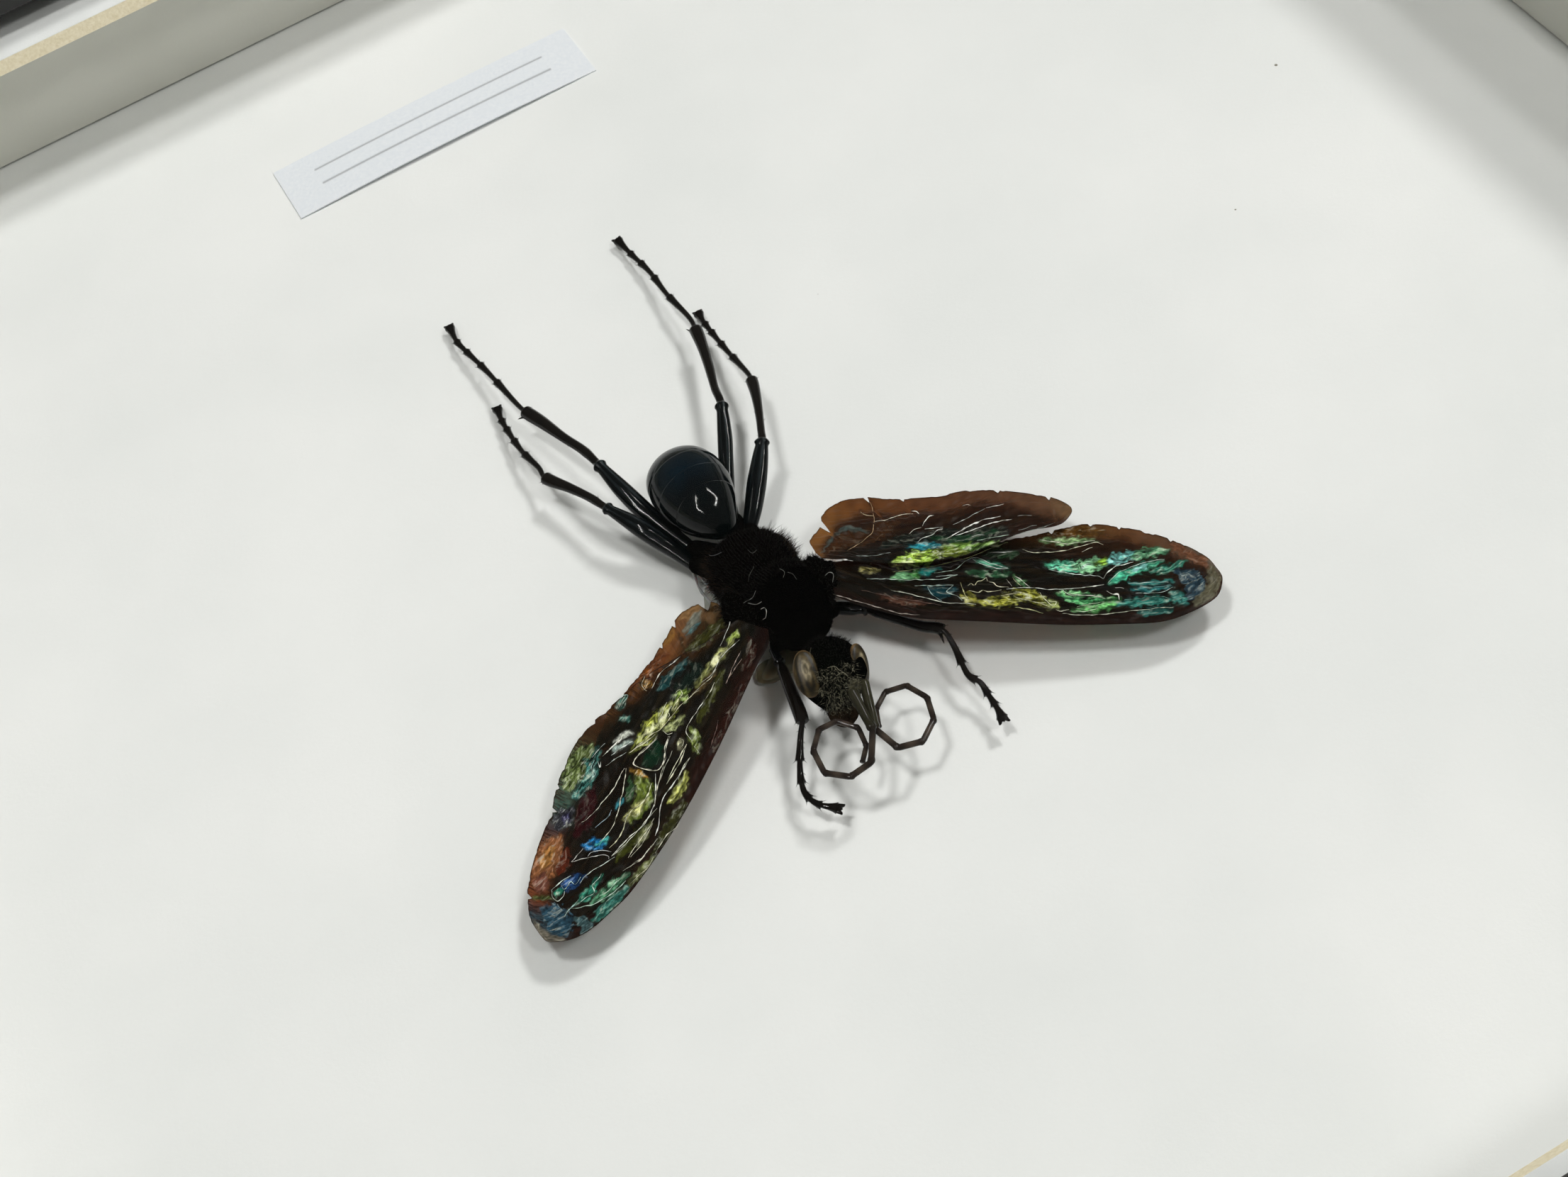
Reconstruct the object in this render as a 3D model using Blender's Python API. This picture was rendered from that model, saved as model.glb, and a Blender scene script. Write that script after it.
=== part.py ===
"""Framed tarantula hawk wasp.

A square shadow box lying on its back: four mitred rails, glass, a window mat, spacer walls, a backing board and a
back panel. The dried wasp is glued to the backing board with its head towards the top rail, above a paper label.
All sizes are in millimetres. +X is the viewer's right, +Y the top of the hung frame, +Z out of the glass.
"""

import math

import bmesh
import bpy
import numpy as np

MM = 0.001
GAP = 0.3

# Frame rails, seen in section: r is the distance from the middle of the frame
OUTER = 228.6
SIGHT = 190.5
RABBET = 203.2
DEPTH = 35.0
LIP = 5.5
EDGE_BEVEL = 0.9

# What lies in the rabbet, from the back to the front
PANEL_RECESS = 3.0
PANEL = 2.5
BOARD = 5.0
SPACER_HEIGHT = 14.3
SPACER = 5.0
MAT = 1.2
MAT_WINDOW = 182.0
MAT_BEVEL = 0.9
GLASS = 2.0

PANEL_BACK = PANEL_RECESS
BOARD_BACK = PANEL_BACK + PANEL + GAP
BOARD_TOP = BOARD_BACK + BOARD
SPACER_BACK = BOARD_TOP + GAP
MAT_BACK = SPACER_BACK + SPACER_HEIGHT + GAP
GLASS_BACK = MAT_BACK + MAT + GAP
INSERT = RABBET - 2 * GAP
INNER = INSERT - 2 * SPACER

# Paper label, hanger and the points that hold the back panel
LABEL_SIZE = (36.0, 8.6, 0.2)
LABEL_CENTRE = (2.4, -70.6)
HANGER_SIZE = (45.0, 9.0, 1.0)
HANGER_Y = 82.0
HANGER_TOOTH = 2.5
POINT_SIZE = (6.0, 13.0, 0.6)
POINT_SPREAD = 55.0

# Wasp body: stations of (x, y, height above the board, half width, half height)
THORAX = [
    (3.3, 4.7, 4.9, 2.0, 1.8),
    (3.4, 5.8, 5.0, 3.4, 2.9),
    (3.4, 8.0, 5.1, 3.95, 3.4),
    (3.0, 10.6, 5.3, 3.6, 3.3),
    (2.6, 13.2, 5.4, 3.3, 3.6),
    (2.5, 15.3, 5.4, 3.1, 3.4),
    (2.5, 16.9, 5.3, 2.3, 2.5),
    (2.5, 17.8, 5.2, 1.2, 1.3),
]
ABDOMEN = [
    (3.2, 2.9, 4.9, 0.8, 0.8),
    (3.3, 1.7, 5.1, 1.3, 1.4),
    (3.5, -0.3, 5.3, 2.3, 2.6),
    (3.6, -2.6, 5.2, 3.2, 3.3),
    (3.6, -5.0, 4.8, 3.6, 3.45),
    (3.6, -7.0, 4.1, 3.35, 3.0),
    (3.6, -8.6, 3.3, 2.3, 2.0),
    (3.6, -9.6, 2.6, 0.9, 0.8),
]
SEGMENT_GROOVES = (0.30, 0.47, 0.63, 0.78)
GROOVE_DEPTH = 0.06

# Head: an upright lens leaning back, its face up and forwards, with an eye bulging on either side
HEAD_CENTRE = (3.0, 21.9, 4.9)
HEAD_HALF = (2.85, 1.6, 3.5)
HEAD_PITCH = math.radians(48)
HEAD_TURN = math.radians(-15)
EYE_BULGE = 0.4
JAW_LENGTH = 0.7

# Wing edges, root to tip: (x, y, height above the board)
WINGS = {
    "forewing_left": {
        "lead": [(-1.7, 14.7, 7.4), (-2.4, 17.1, 6.9), (-3.3, 18.7, 6.6), (-5.6, 21.2, 5.9), (-10.9, 24.9, 5.0),
                 (-16.2, 28.5, 4.3), (-20.3, 31.0, 3.9), (-23.5, 32.6, 3.6), (-26.3, 33.0, 3.4), (-28.5, 32.6, 3.2),
                 (-29.9, 31.8, 3.1)],
        "trail": [(-2.6, 13.2, 6.2), (-6.2, 13.3, 4.6), (-9.3, 14.4, 3.7), (-14.3, 15.7, 2.9), (-17.6, 16.7, 2.6),
                  (-20.4, 17.9, 2.6), (-23.8, 19.1, 2.6), (-26.7, 21.7, 2.7), (-29.0, 24.9, 2.8),
                  (-30.6, 28.4, 2.9), (-30.8, 30.1, 3.0)],
        "nicks": [0.60, 0.67, 0.76, 0.82, 0.89],
        "rows": 28,
        "folds": 3.0,
    },
    "hindwing_left": {
        "lead": [(-2.0, 11.7, 6.8), (-4.6, 13.7, 6.4), (-7.4, 15.4, 5.8), (-10.1, 16.7, 5.3), (-13.0, 17.6, 4.9),
                 (-15.2, 17.7, 4.6), (-18.9, 18.0, 4.2), (-21.4, 18.4, 3.9), (-23.2, 18.1, 3.8)],
        "trail": [(-1.9, 10.4, 6.3), (-2.2, 8.7, 5.9), (-3.7, 7.6, 5.4), (-4.2, 7.0, 5.1), (-4.8, 6.0, 4.9),
                  (-6.9, 5.2, 4.3), (-9.3, 5.9, 3.9), (-11.6, 7.6, 3.7), (-14.6, 9.3, 3.5), (-17.2, 10.3, 3.4),
                  (-19.7, 12.1, 3.4), (-22.4, 15.3, 3.6), (-23.6, 17.2, 3.8)],
        "nicks": [0.135, 0.40, 0.62, 0.80, 0.90],
        "rows": 22,
        "folds": 2.0,
    },
    "forewing_right": {
        "lead": [(6.8, 15.0, 7.6), (7.0, 16.2, 7.4), (7.8, 17.6, 7.1), (9.5, 19.2, 6.8), (14.9, 23.3, 5.8),
                 (20.8, 27.1, 4.9), (26.6, 30.0, 4.1), (29.5, 30.8, 3.7), (31.8, 31.2, 3.5), (33.6, 31.0, 3.4),
                 (34.8, 30.5, 3.2)],
        "trail": [(7.4, 13.4, 7.2), (11.1, 13.0, 6.2), (13.7, 12.5, 5.4), (16.5, 12.4, 4.8), (19.1, 13.0, 4.3),
                  (23.3, 14.0, 3.8), (27.3, 17.0, 3.4), (28.8, 19.1, 3.3), (31.9, 21.7, 3.0), (34.3, 24.4, 2.9),
                  (35.4, 26.4, 2.9), (35.6, 29.2, 3.1)],
        "nicks": [0.36, 0.50, 0.66, 0.78, 0.865],
        "rows": 28,
        "folds": 3.0,
    },
    "hindwing_right": {
        "lead": [(7.5, 12.4, 6.0), (9.2, 13.4, 5.3), (13.1, 14.5, 4.1), (17.1, 15.2, 3.2), (21.0, 15.3, 2.5),
                 (23.4, 15.0, 2.3)],
        "trail": [(7.4, 10.6, 5.5), (7.7, 9.3, 5.1), (8.3, 8.4, 4.8), (10.0, 7.6, 4.4), (11.6, 7.9, 4.1),
                  (13.8, 9.2, 3.6), (16.9, 10.6, 3.1), (20.3, 11.8, 2.6), (23.4, 14.2, 2.3)],
        "nicks": [0.14, 0.27, 0.37, 0.60],
        "rows": 18,
        "folds": 1.0,
    },
}
WING_THICKNESS = 0.3
WING_COLUMNS = 7
FOLD_HEIGHT = 0.2
NICK_DEPTH = 0.08
NICK_WIDTH = 0.006

# Legs, hip to claws: (x, y, height above the board, radius) at every joint and swelling
LEGS = {
    "leg_front_left": [
        (-1.4, 14.4, 2.9, 0.66), (-2.4, 15.3, 3.0, 0.66), (-3.4, 16.3, 3.1, 0.46), (-4.9, 18.9, 3.4, 0.38),
        (-6.3, 21.0, 3.6, 0.42), (-7.5, 22.5, 3.8, 0.42), (-7.6, 24.2, 3.3, 0.36), (-7.2, 27.0, 2.7, 0.34),
        (-7.7, 28.3, 2.5, 0.26), (-7.7, 29.5, 2.2, 0.3), (-7.6, 31.3, 2.1, 0.24), (-7.5, 32.1, 2.0, 0.36)],
    "leg_front_right": [
        (5.5, 14.8, 2.6, 0.4), (5.8, 16.7, 3.0, 0.42), (6.4, 19.7, 3.6, 0.5), (6.9, 22.3, 4.1, 0.52),
        (7.3, 24.0, 4.4, 0.45), (7.6, 24.4, 4.2, 0.25), (8.3, 25.2, 3.6, 0.26), (9.5, 27.1, 3.0, 0.3),
        (10.1, 28.4, 2.7, 0.22), (10.3, 29.5, 2.5, 0.24), (9.9, 30.7, 2.3, 0.28), (8.7, 31.9, 2.1, 0.36)],
    "leg_middle_left": [
        (0.8, 1.4, 2.4, 0.7), (-0.5, 0.0, 3.0, 0.85), (-2.0, -1.8, 3.8, 0.92), (-3.5, -3.6, 4.6, 0.75),
        (-4.4, -4.7, 5.2, 0.52), (-5.0, -6.1, 5.0, 0.34), (-6.0, -8.6, 4.5, 0.36), (-6.9, -11.1, 4.0, 0.42),
        (-7.5, -13.2, 3.6, 0.45), (-7.7, -14.8, 3.2, 0.26), (-7.7, -19.4, 2.1, 0.26), (-7.8, -24.4, 1.2, 0.26),
        (-8.0, -26.5, 0.8, 0.38)],
    "leg_middle_right": [
        (7.0, 1.8, 2.1, 0.6), (7.8, -0.1, 2.8, 0.78), (8.7, -2.0, 3.4, 0.9), (9.6, -3.8, 4.0, 0.85),
        (11.1, -7.1, 4.4, 0.45), (11.8, -9.4, 4.1, 0.38), (12.8, -12.0, 3.6, 0.42), (14.1, -15.0, 3.0, 0.48),
        (14.1, -16.9, 2.7, 0.25), (14.5, -20.6, 2.0, 0.27), (14.4, -25.5, 1.1, 0.25), (14.1, -27.7, 0.8, 0.4)],
    "leg_hind_left": [
        (1.2, -1.4, 1.4, 0.55), (0.6, -3.4, 1.7, 0.62), (-0.2, -5.0, 2.4, 0.7), (-1.1, -6.6, 3.2, 0.72),
        (-2.2, -8.6, 4.0, 0.7), (-3.4, -11.2, 4.9, 0.5), (-3.9, -13.6, 4.6, 0.36), (-4.8, -16.7, 4.1, 0.42),
        (-5.6, -19.8, 3.6, 0.46), (-6.2, -22.7, 3.2, 0.5), (-6.5, -25.0, 2.8, 0.26), (-6.3, -29.7, 2.1, 0.26),
        (-6.4, -34.2, 1.5, 0.26), (-6.1, -38.0, 1.0, 0.24), (-5.9, -40.7, 0.8, 0.38)],
    "leg_hind_right": [
        (6.2, -0.4, 1.6, 0.6), (6.9, -2.2, 2.0, 0.75), (7.9, -5.1, 2.8, 0.9), (8.8, -8.2, 4.0, 0.85),
        (9.5, -11.9, 4.8, 0.5), (9.9, -14.6, 4.5, 0.42), (10.7, -17.5, 4.1, 0.42), (11.5, -21.0, 3.5, 0.52),
        (12.2, -23.6, 3.1, 0.5), (12.5, -25.8, 2.7, 0.26), (13.0, -31.7, 1.9, 0.26), (13.6, -36.4, 1.3, 0.26),
        (13.8, -38.3, 1.1, 0.24), (13.6, -40.7, 0.8, 0.4)],
}
LEG_SIDES = 8
CLAW_SPREAD = 0.7
CLAW_LENGTH = 0.6
CLAW_RADIUS = 0.18
SPURS = {
    "leg_front_left": ((-7.2, 22.7, 3.6), (-7.0, 23.6, 3.4)),
    "leg_middle_left": ((-7.5, -12.6, 3.6), (-7.1, -13.2, 3.4)),
    "leg_middle_right": ((14.0, -14.5, 3.0), (14.7, -14.7, 2.8)),
    "leg_hind_left": ((-6.1, -21.3, 3.3), (-5.5, -23.5, 3.0)),
    "leg_hind_right": ((12.2, -22.9, 3.1), (13.2, -23.5, 2.8)),
}
SPUR_RADIUS = 0.16

# Antennae: a long straight first joint, then short straight joints that close into a ring
ANTENNAE = {
    "antenna_left": [(1.6, 25.3, 5.6), (2.5, 28.3, 4.4), (1.9, 31.1, 4.4), (-0.2, 31.7, 4.3), (-2.1, 30.3, 4.2),
                     (-2.8, 27.9, 4.0), (-2.0, 25.7, 3.8), (-0.2, 25.1, 3.6), (1.3, 26.1, 3.5), (1.6, 26.8, 3.4)],
    "antenna_right": [(2.7, 25.1, 6.2), (3.0, 28.8, 5.6), (4.7, 31.8, 5.6), (6.8, 31.9, 5.4), (8.4, 30.2, 5.2),
                      (8.1, 27.6, 5.0), (6.6, 25.9, 4.8), (4.9, 25.9, 4.6), (3.7, 27.5, 4.5), (4.0, 29.4, 4.4),
                      (5.1, 30.6, 4.3)],
}
ANTENNA_RADIUS = 0.22
ANTENNA_SIDES = 6
JOINT_REACH = 0.3

# Glue under the body: centre, half sizes, all above the board
GLUE = {
    "glue_side": ((5.2, 7.6, 0.82), (3.6, 4.6, 0.5)),
    "glue_front": ((4.1, 15.4, 0.82), (3.0, 1.6, 0.5)),
}

COLOURS = {
    "black_lacquered_wood": ("15130f", 0.42, 0.0),
    "clear_glass": ("e8efec", 0.02, 0.0),
    "mat_board": ("eceeec", 0.85, 0.0),
    "foam_board": ("dcdcd4", 0.80, 0.0),
    "hardboard": ("7a5b3c", 0.75, 0.0),
    "zinc_steel": ("a8a9a6", 0.35, 1.0),
    "label_paper": ("e4e8ee", 0.80, 0.0),
    "black_chitin": ("0b0f12", 0.25, 0.0),
    "velvet_thorax": ("140e0a", 0.80, 0.0),
    "wing_membrane": ("5a3a1c", 0.25, 0.0),
    "hot_melt_glue": ("cfcab4", 0.20, 0.0),
}


def clear_scene():
    """Removes whatever the file opened with."""
    for thing in list(bpy.data.objects):
        bpy.data.objects.remove(thing, do_unlink=True)


def linear(hex_colour):
    """Turns an sRGB hex colour into linear RGB."""
    channels = [int(hex_colour[i:i + 2], 16) / 255 for i in (0, 2, 4)]
    return [c / 12.92 if c <= 0.04045 else ((c + 0.055) / 1.055) ** 2.4 for c in channels]


def material(name):
    """Returns the named material, made on first use."""
    found = bpy.data.materials.get(name)
    if found:
        return found
    colour, roughness, metallic = COLOURS[name]
    made = bpy.data.materials.new(name)
    made.use_nodes = True
    shader = made.node_tree.nodes["Principled BSDF"]
    shader.inputs["Base Color"].default_value = (*linear(colour), 1.0)
    shader.inputs["Roughness"].default_value = roughness
    shader.inputs["Metallic"].default_value = metallic
    return made


def solid(name, points, faces, finish, smooth_angle=None):
    """Makes one closed object from points in millimetres, with its faces turned outwards."""
    mesh = bpy.data.meshes.new(name)
    mesh.from_pydata([tuple(p) for p in np.asarray(points, float) * MM], [], faces)
    bm = bmesh.new()
    bm.from_mesh(mesh)
    bmesh.ops.recalc_face_normals(bm, faces=bm.faces)
    bm.to_mesh(mesh)
    bm.free()
    mesh.materials.append(material(finish))
    if smooth_angle:
        mesh.shade_smooth()
        mesh.set_sharp_from_angle(angle=math.radians(smooth_angle))
    thing = bpy.data.objects.new(name, mesh)
    bpy.context.scene.collection.objects.link(thing)
    return thing


def prism(outline, low, high):
    """Points and faces of an outline in the XY plane carried from one height to another."""
    count = len(outline)
    points = [(x, y, low) for x, y in outline] + [(x, y, high) for x, y in outline]
    faces = [tuple(range(count)), tuple(range(2 * count - 1, count - 1, -1))]
    faces += [(i, (i + 1) % count, count + (i + 1) % count, count + i) for i in range(count)]
    return points, faces


def slab(name, centre, size, back, finish, bevel=0.0):
    """A flat rectangular board or sheet lying at a given back face."""
    (cx, cy), (sx, sy, sz) = centre, size
    outline = [(cx - sx / 2, cy - sy / 2), (cx + sx / 2, cy - sy / 2), (cx + sx / 2, cy + sy / 2),
               (cx - sx / 2, cy + sy / 2)]
    points, faces = prism(outline, back, back + sz)
    board = solid(name, points, faces, finish)
    if bevel:
        cut = board.modifiers.new("edges", "BEVEL")
        cut.width = bevel * MM
        cut.segments = 1
    return board


def quarter_turn(points, turns):
    """Turns points about the vertical axis through the middle of the frame by quarter turns."""
    points = np.asarray(points, float)
    for _ in range(turns % 4):
        points = np.column_stack([-points[:, 1], points[:, 0], points[:, 2]])
    return points


def rails():
    """Four rails of one section, each mitred at both ends and a hair short of its neighbours."""
    inside, rabbet, outside = SIGHT / 2, RABBET / 2, OUTER / 2
    lip_back = DEPTH - LIP
    section = [
        (rabbet, 0.0), (outside - 0.6, 0.0), (outside, 0.6), (outside, DEPTH - EDGE_BEVEL * 1.4),
        (outside - EDGE_BEVEL, DEPTH - EDGE_BEVEL * 0.4), (outside - EDGE_BEVEL * 2, DEPTH),
        (inside + EDGE_BEVEL, DEPTH), (inside, DEPTH - EDGE_BEVEL), (inside, lip_back), (rabbet, lip_back),
    ]
    short = GAP / 2 * math.sqrt(2)
    count = len(section)
    points = [(-(r - short), -r, z) for r, z in section] + [(r - short, -r, z) for r, z in section]
    faces = [tuple(range(count)), tuple(range(count, 2 * count))]
    faces += [(i, (i + 1) % count, count + (i + 1) % count, count + i) for i in range(count)]
    for turns, name in enumerate(("rail_bottom", "rail_right", "rail_top", "rail_left")):
        solid(name, quarter_turn(points, turns), faces, "black_lacquered_wood")


def window_mat():
    """A square mat with a window whose cut slopes outwards towards the glass."""
    rings = [(INSERT / 2, MAT_BACK), (INSERT / 2, MAT_BACK + MAT),
             (MAT_WINDOW / 2 + MAT_BEVEL, MAT_BACK + MAT), (MAT_WINDOW / 2, MAT_BACK)]
    points = [(sx * half, sy * half, z) for half, z in rings for sx, sy in ((-1, -1), (1, -1), (1, 1), (-1, 1))]
    faces = []
    for ring in range(4):
        here, there = 4 * ring, 4 * ((ring + 1) % 4)
        faces += [(here + i, here + (i + 1) % 4, there + (i + 1) % 4, there + i) for i in range(4)]
    solid("window_mat", points, faces, "mat_board")


def spacers():
    """Four board walls: the top and bottom ones run full width, the side ones fit between them."""
    side_length = INNER - 2 * GAP
    middle = INSERT / 2 - SPACER / 2
    for name, centre, size in (
        ("spacer_bottom", (0, -middle), (INSERT, SPACER)),
        ("spacer_top", (0, middle), (INSERT, SPACER)),
        ("spacer_left", (-middle, 0), (SPACER, side_length)),
        ("spacer_right", (middle, 0), (SPACER, side_length)),
    ):
        slab(name, centre, (*size, SPACER_HEIGHT), SPACER_BACK, "foam_board")


def boards():
    """Glass, backing board, back panel and label."""
    slab("glass_pane", (0, 0), (INSERT, INSERT, GLASS), GLASS_BACK, "clear_glass")
    slab("backing_board", (0, 0), (INSERT, INSERT, BOARD), BOARD_BACK, "foam_board")
    slab("back_panel", (0, 0), (INSERT, INSERT, PANEL), PANEL_BACK, "hardboard")
    slab("label", LABEL_CENTRE, LABEL_SIZE, BOARD_TOP + GAP, "label_paper")


def hanger():
    """A sawtooth hanger: a thin strip whose upper inner edge carries a row of teeth."""
    length, height, thickness = HANGER_SIZE
    teeth = int(length * 0.6 / HANGER_TOOTH)
    row = []
    for i in range(teeth + 1):
        x = (i - teeth / 2) * HANGER_TOOTH
        row += [(x, -height / 2 + 0.6), (x + HANGER_TOOTH / 2, -height / 2 + 2.0)]
    outline = [(-length / 2, height / 2 - 2), (-length / 2, -height / 2)]
    outline += row[:-1]
    outline += [(length / 2, -height / 2), (length / 2, height / 2 - 2), (length / 2 - 2, height / 2),
                (-length / 2 + 2, height / 2)]
    outline = [(x, HANGER_Y + y) for x, y in outline]
    back = PANEL_BACK - GAP - thickness
    points, faces = prism(outline, back, back + thickness)
    solid("sawtooth_hanger", points, faces, "zinc_steel")


def panel_points():
    """Eight pointed steel blades, two on each side, lying on the back panel with one end at the rail."""
    width, length, thickness = POINT_SIZE
    root = RABBET / 2 - GAP
    back = PANEL_BACK - GAP - thickness
    number = 1
    for turns in range(4):
        for along in (-POINT_SPREAD, POINT_SPREAD):
            outline = [(along - width / 2, -root), (along + width / 2, -root),
                       (along + width / 2, -root + length - width / 2), (along, -root + length),
                       (along - width / 2, -root + length - width / 2)]
            points, faces = prism(outline, back, back + thickness)
            solid(f"panel_point_{number}", quarter_turn(points, turns), faces, "zinc_steel")
            number += 1


def smooth_path(stations, count):
    """Reads a Catmull-Rom curve through the stations at evenly spaced places along its length."""
    knots = np.asarray(stations, float)
    padded = np.vstack([2 * knots[0] - knots[1], knots, 2 * knots[-1] - knots[-2]])
    fine = []
    for a, b, c, d in zip(padded, padded[1:], padded[2:], padded[3:]):
        t = np.linspace(0, 1, 20, endpoint=False)[:, None]
        fine.append(0.5 * (2 * b + (c - a) * t + (2 * a - 5 * b + 4 * c - d) * t ** 2
                           + (3 * b - a - 3 * c + d) * t ** 3))
    fine = np.vstack([*fine, knots[-1:]])
    length = np.concatenate([[0], np.cumsum(np.linalg.norm(np.diff(fine[:, :3], axis=0), axis=1))])
    places = np.linspace(0, length[-1], count) if np.isscalar(count) else np.asarray(count) * length[-1]
    return np.column_stack([np.interp(places, length, column) for column in fine.T])


def lifted(points):
    """Turns heights above the backing board into heights in the frame."""
    points = np.array(points, float)
    points[:, 2] += BOARD_TOP
    return points


def skin(path, wide, high, sides, bulge=None):
    """Rings round a path, with half width and half height at each place, closed by a point at either end."""
    path = np.asarray(path, float)
    along = np.gradient(path, axis=0)
    along /= np.linalg.norm(along, axis=1)[:, None]
    side = np.cross(along, (0.0, 0.0, 1.0))
    side /= np.linalg.norm(side, axis=1)[:, None]
    up = np.cross(side, along)
    angle = np.arange(sides) * 2 * math.pi / sides
    grow = np.ones((len(path), sides)) if bulge is None else bulge(len(path), angle)
    rings = (path[:, None] + side[:, None] * (np.cos(angle) * wide[:, None] * grow)[..., None]
             + up[:, None] * (np.sin(angle) * high[:, None] * grow)[..., None])
    count = len(path)
    points = np.vstack([rings.reshape(-1, 3), path[0] - along[0] * wide[0] * 0.5,
                        path[-1] + along[-1] * wide[-1] * 0.5])
    first, last = count * sides, count * sides + 1
    faces = [(i * sides + j, i * sides + (j + 1) % sides, (i + 1) * sides + (j + 1) % sides, (i + 1) * sides + j)
             for i in range(count - 1) for j in range(sides)]
    faces += [(first, (j + 1) % sides, j) for j in range(sides)]
    faces += [(last, (count - 1) * sides + j, (count - 1) * sides + (j + 1) % sides) for j in range(sides)]
    return points, faces


def body_piece(name, stations, rings, sides, finish, bulge=None):
    """A body piece lofted through stations of place, half width and half height."""
    table = smooth_path(lifted(stations), rings)
    points, faces = skin(table[:, :3], table[:, 3], table[:, 4], sides, bulge)
    return solid(name, points, faces, finish, 60)


def abdomen_grooves(rings, angle):
    """Shallow ring grooves where one plate of the abdomen slides under the next."""
    place = np.linspace(0, 1, rings)[:, None]
    groove = sum(np.exp(-((place - centre) / 0.02) ** 2) for centre in SEGMENT_GROOVES)
    return 1 - GROOVE_DEPTH * groove * np.ones_like(angle)[None]


def thorax_lobes(rings, angle):
    """A waist between the front mass and the rear lobe, and a low shoulder over each wing root."""
    place = np.linspace(0, 1, rings)[:, None]
    waist = np.exp(-((place - 0.47) / 0.05) ** 2)
    shoulder = np.exp(-((place - 0.72) / 0.09) ** 2) * np.abs(np.cos(angle))[None] ** 4
    return 1 - 0.07 * waist + 0.05 * shoulder


def head():
    """A lens-shaped head with bulging side eyes, narrowing below to the jaws."""
    rows, sides = 15, 22
    tilt = np.linspace(0, math.pi, rows)[1:-1, None]
    round_ = np.arange(sides)[None] * 2 * math.pi / sides
    x = np.sin(tilt) * np.cos(round_)
    y = np.sin(tilt) * np.sin(round_)
    z = np.cos(tilt) * np.ones_like(round_)
    eye = np.exp(-((np.abs(x) - 0.85) / 0.28) ** 2 - ((z - 0.15) / 0.55) ** 2 - ((y - 0.3) / 0.7) ** 2)
    narrow = 1 - 0.34 * np.clip(-z - 0.1, 0, 1)
    ball = np.stack([HEAD_HALF[0] * x * narrow + np.sign(x) * EYE_BULGE * eye, HEAD_HALF[1] * y + 0.3 * eye,
                     HEAD_HALF[2] * z], axis=-1).reshape(-1, 3)
    ball = np.vstack([ball, (0, 0, HEAD_HALF[2]), (0, 0.5, -HEAD_HALF[2] - JAW_LENGTH)])
    pitch, turn = HEAD_PITCH, HEAD_TURN
    about_x = np.array([(1, 0, 0), (0, math.cos(pitch), -math.sin(pitch)), (0, math.sin(pitch), math.cos(pitch))])
    about_z = np.array([(math.cos(turn), -math.sin(turn), 0), (math.sin(turn), math.cos(turn), 0), (0, 0, 1)])
    centre = np.array(HEAD_CENTRE) + (0, 0, BOARD_TOP)
    points = ball @ (about_z @ about_x).T + centre
    top, bottom = (rows - 2) * sides, (rows - 2) * sides + 1
    faces = [(i * sides + j, (i + 1) * sides + j, (i + 1) * sides + (j + 1) % sides, i * sides + (j + 1) % sides)
             for i in range(rows - 3) for j in range(sides)]
    faces += [(top, j, (j + 1) % sides) for j in range(sides)]
    faces += [(bottom, (rows - 3) * sides + (j + 1) % sides, (rows - 3) * sides + j) for j in range(sides)]
    solid("head", points, faces, "black_chitin", 60)


def wing(name, lead, trail, nicks, rows, folds):
    """A thin pleated sheet ruled between its two edges, with nicks along the trailing one."""
    places = np.unique(np.concatenate([
        np.linspace(0, 1, rows), *[(n - NICK_WIDTH, n, n + NICK_WIDTH) for n in nicks]]))
    front, back = smooth_path(lifted(lead), places), smooth_path(lifted(trail), places)
    pinch = np.clip(np.sqrt(np.clip(1 - places, 0, 1) / 0.04), 0.12, 1)[:, None]
    middle = (front + back) / 2
    front, back = middle + (front - middle) * pinch, middle + (back - middle) * pinch
    cut = NICK_DEPTH * np.max([np.clip(1 - np.abs(places - n) / NICK_WIDTH, 0, 1) for n in nicks], axis=0)[:, None]
    back = back + (front - back) * cut
    across = np.linspace(0, 1, WING_COLUMNS + 1)[None, :, None]
    sheet = front[:, None] * (1 - across) + back[:, None] * across
    swell = np.sin(np.clip(places, 0, 1) * math.pi)[:, None] ** 0.6
    sheet[..., 2] += FOLD_HEIGHT * swell * np.sin(across[..., 0] * math.pi * 2 * folds)
    count, columns = sheet.shape[:2]
    top = sheet + (0, 0, WING_THICKNESS / 2)
    bottom = sheet - (0, 0, WING_THICKNESS / 2)
    points = np.vstack([top.reshape(-1, 3), bottom.reshape(-1, 3)])
    under = count * columns
    faces = []
    for i in range(count - 1):
        for j in range(columns - 1):
            a, b, c, d = i * columns + j, i * columns + j + 1, (i + 1) * columns + j + 1, (i + 1) * columns + j
            faces += [(a, b, c), (a, c, d), (under + c, under + b, under + a), (under + d, under + c, under + a)]
        for edge in (0, columns - 1):
            a, b = i * columns + edge, (i + 1) * columns + edge
            faces += [(a, b, under + b, under + a)]
    for end in (0, (count - 1) * columns):
        faces += [(end + j, end + j + 1, under + end + j + 1, under + end + j) for j in range(columns - 1)]
    return solid(name, points, faces, "wing_membrane", 40)


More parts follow.
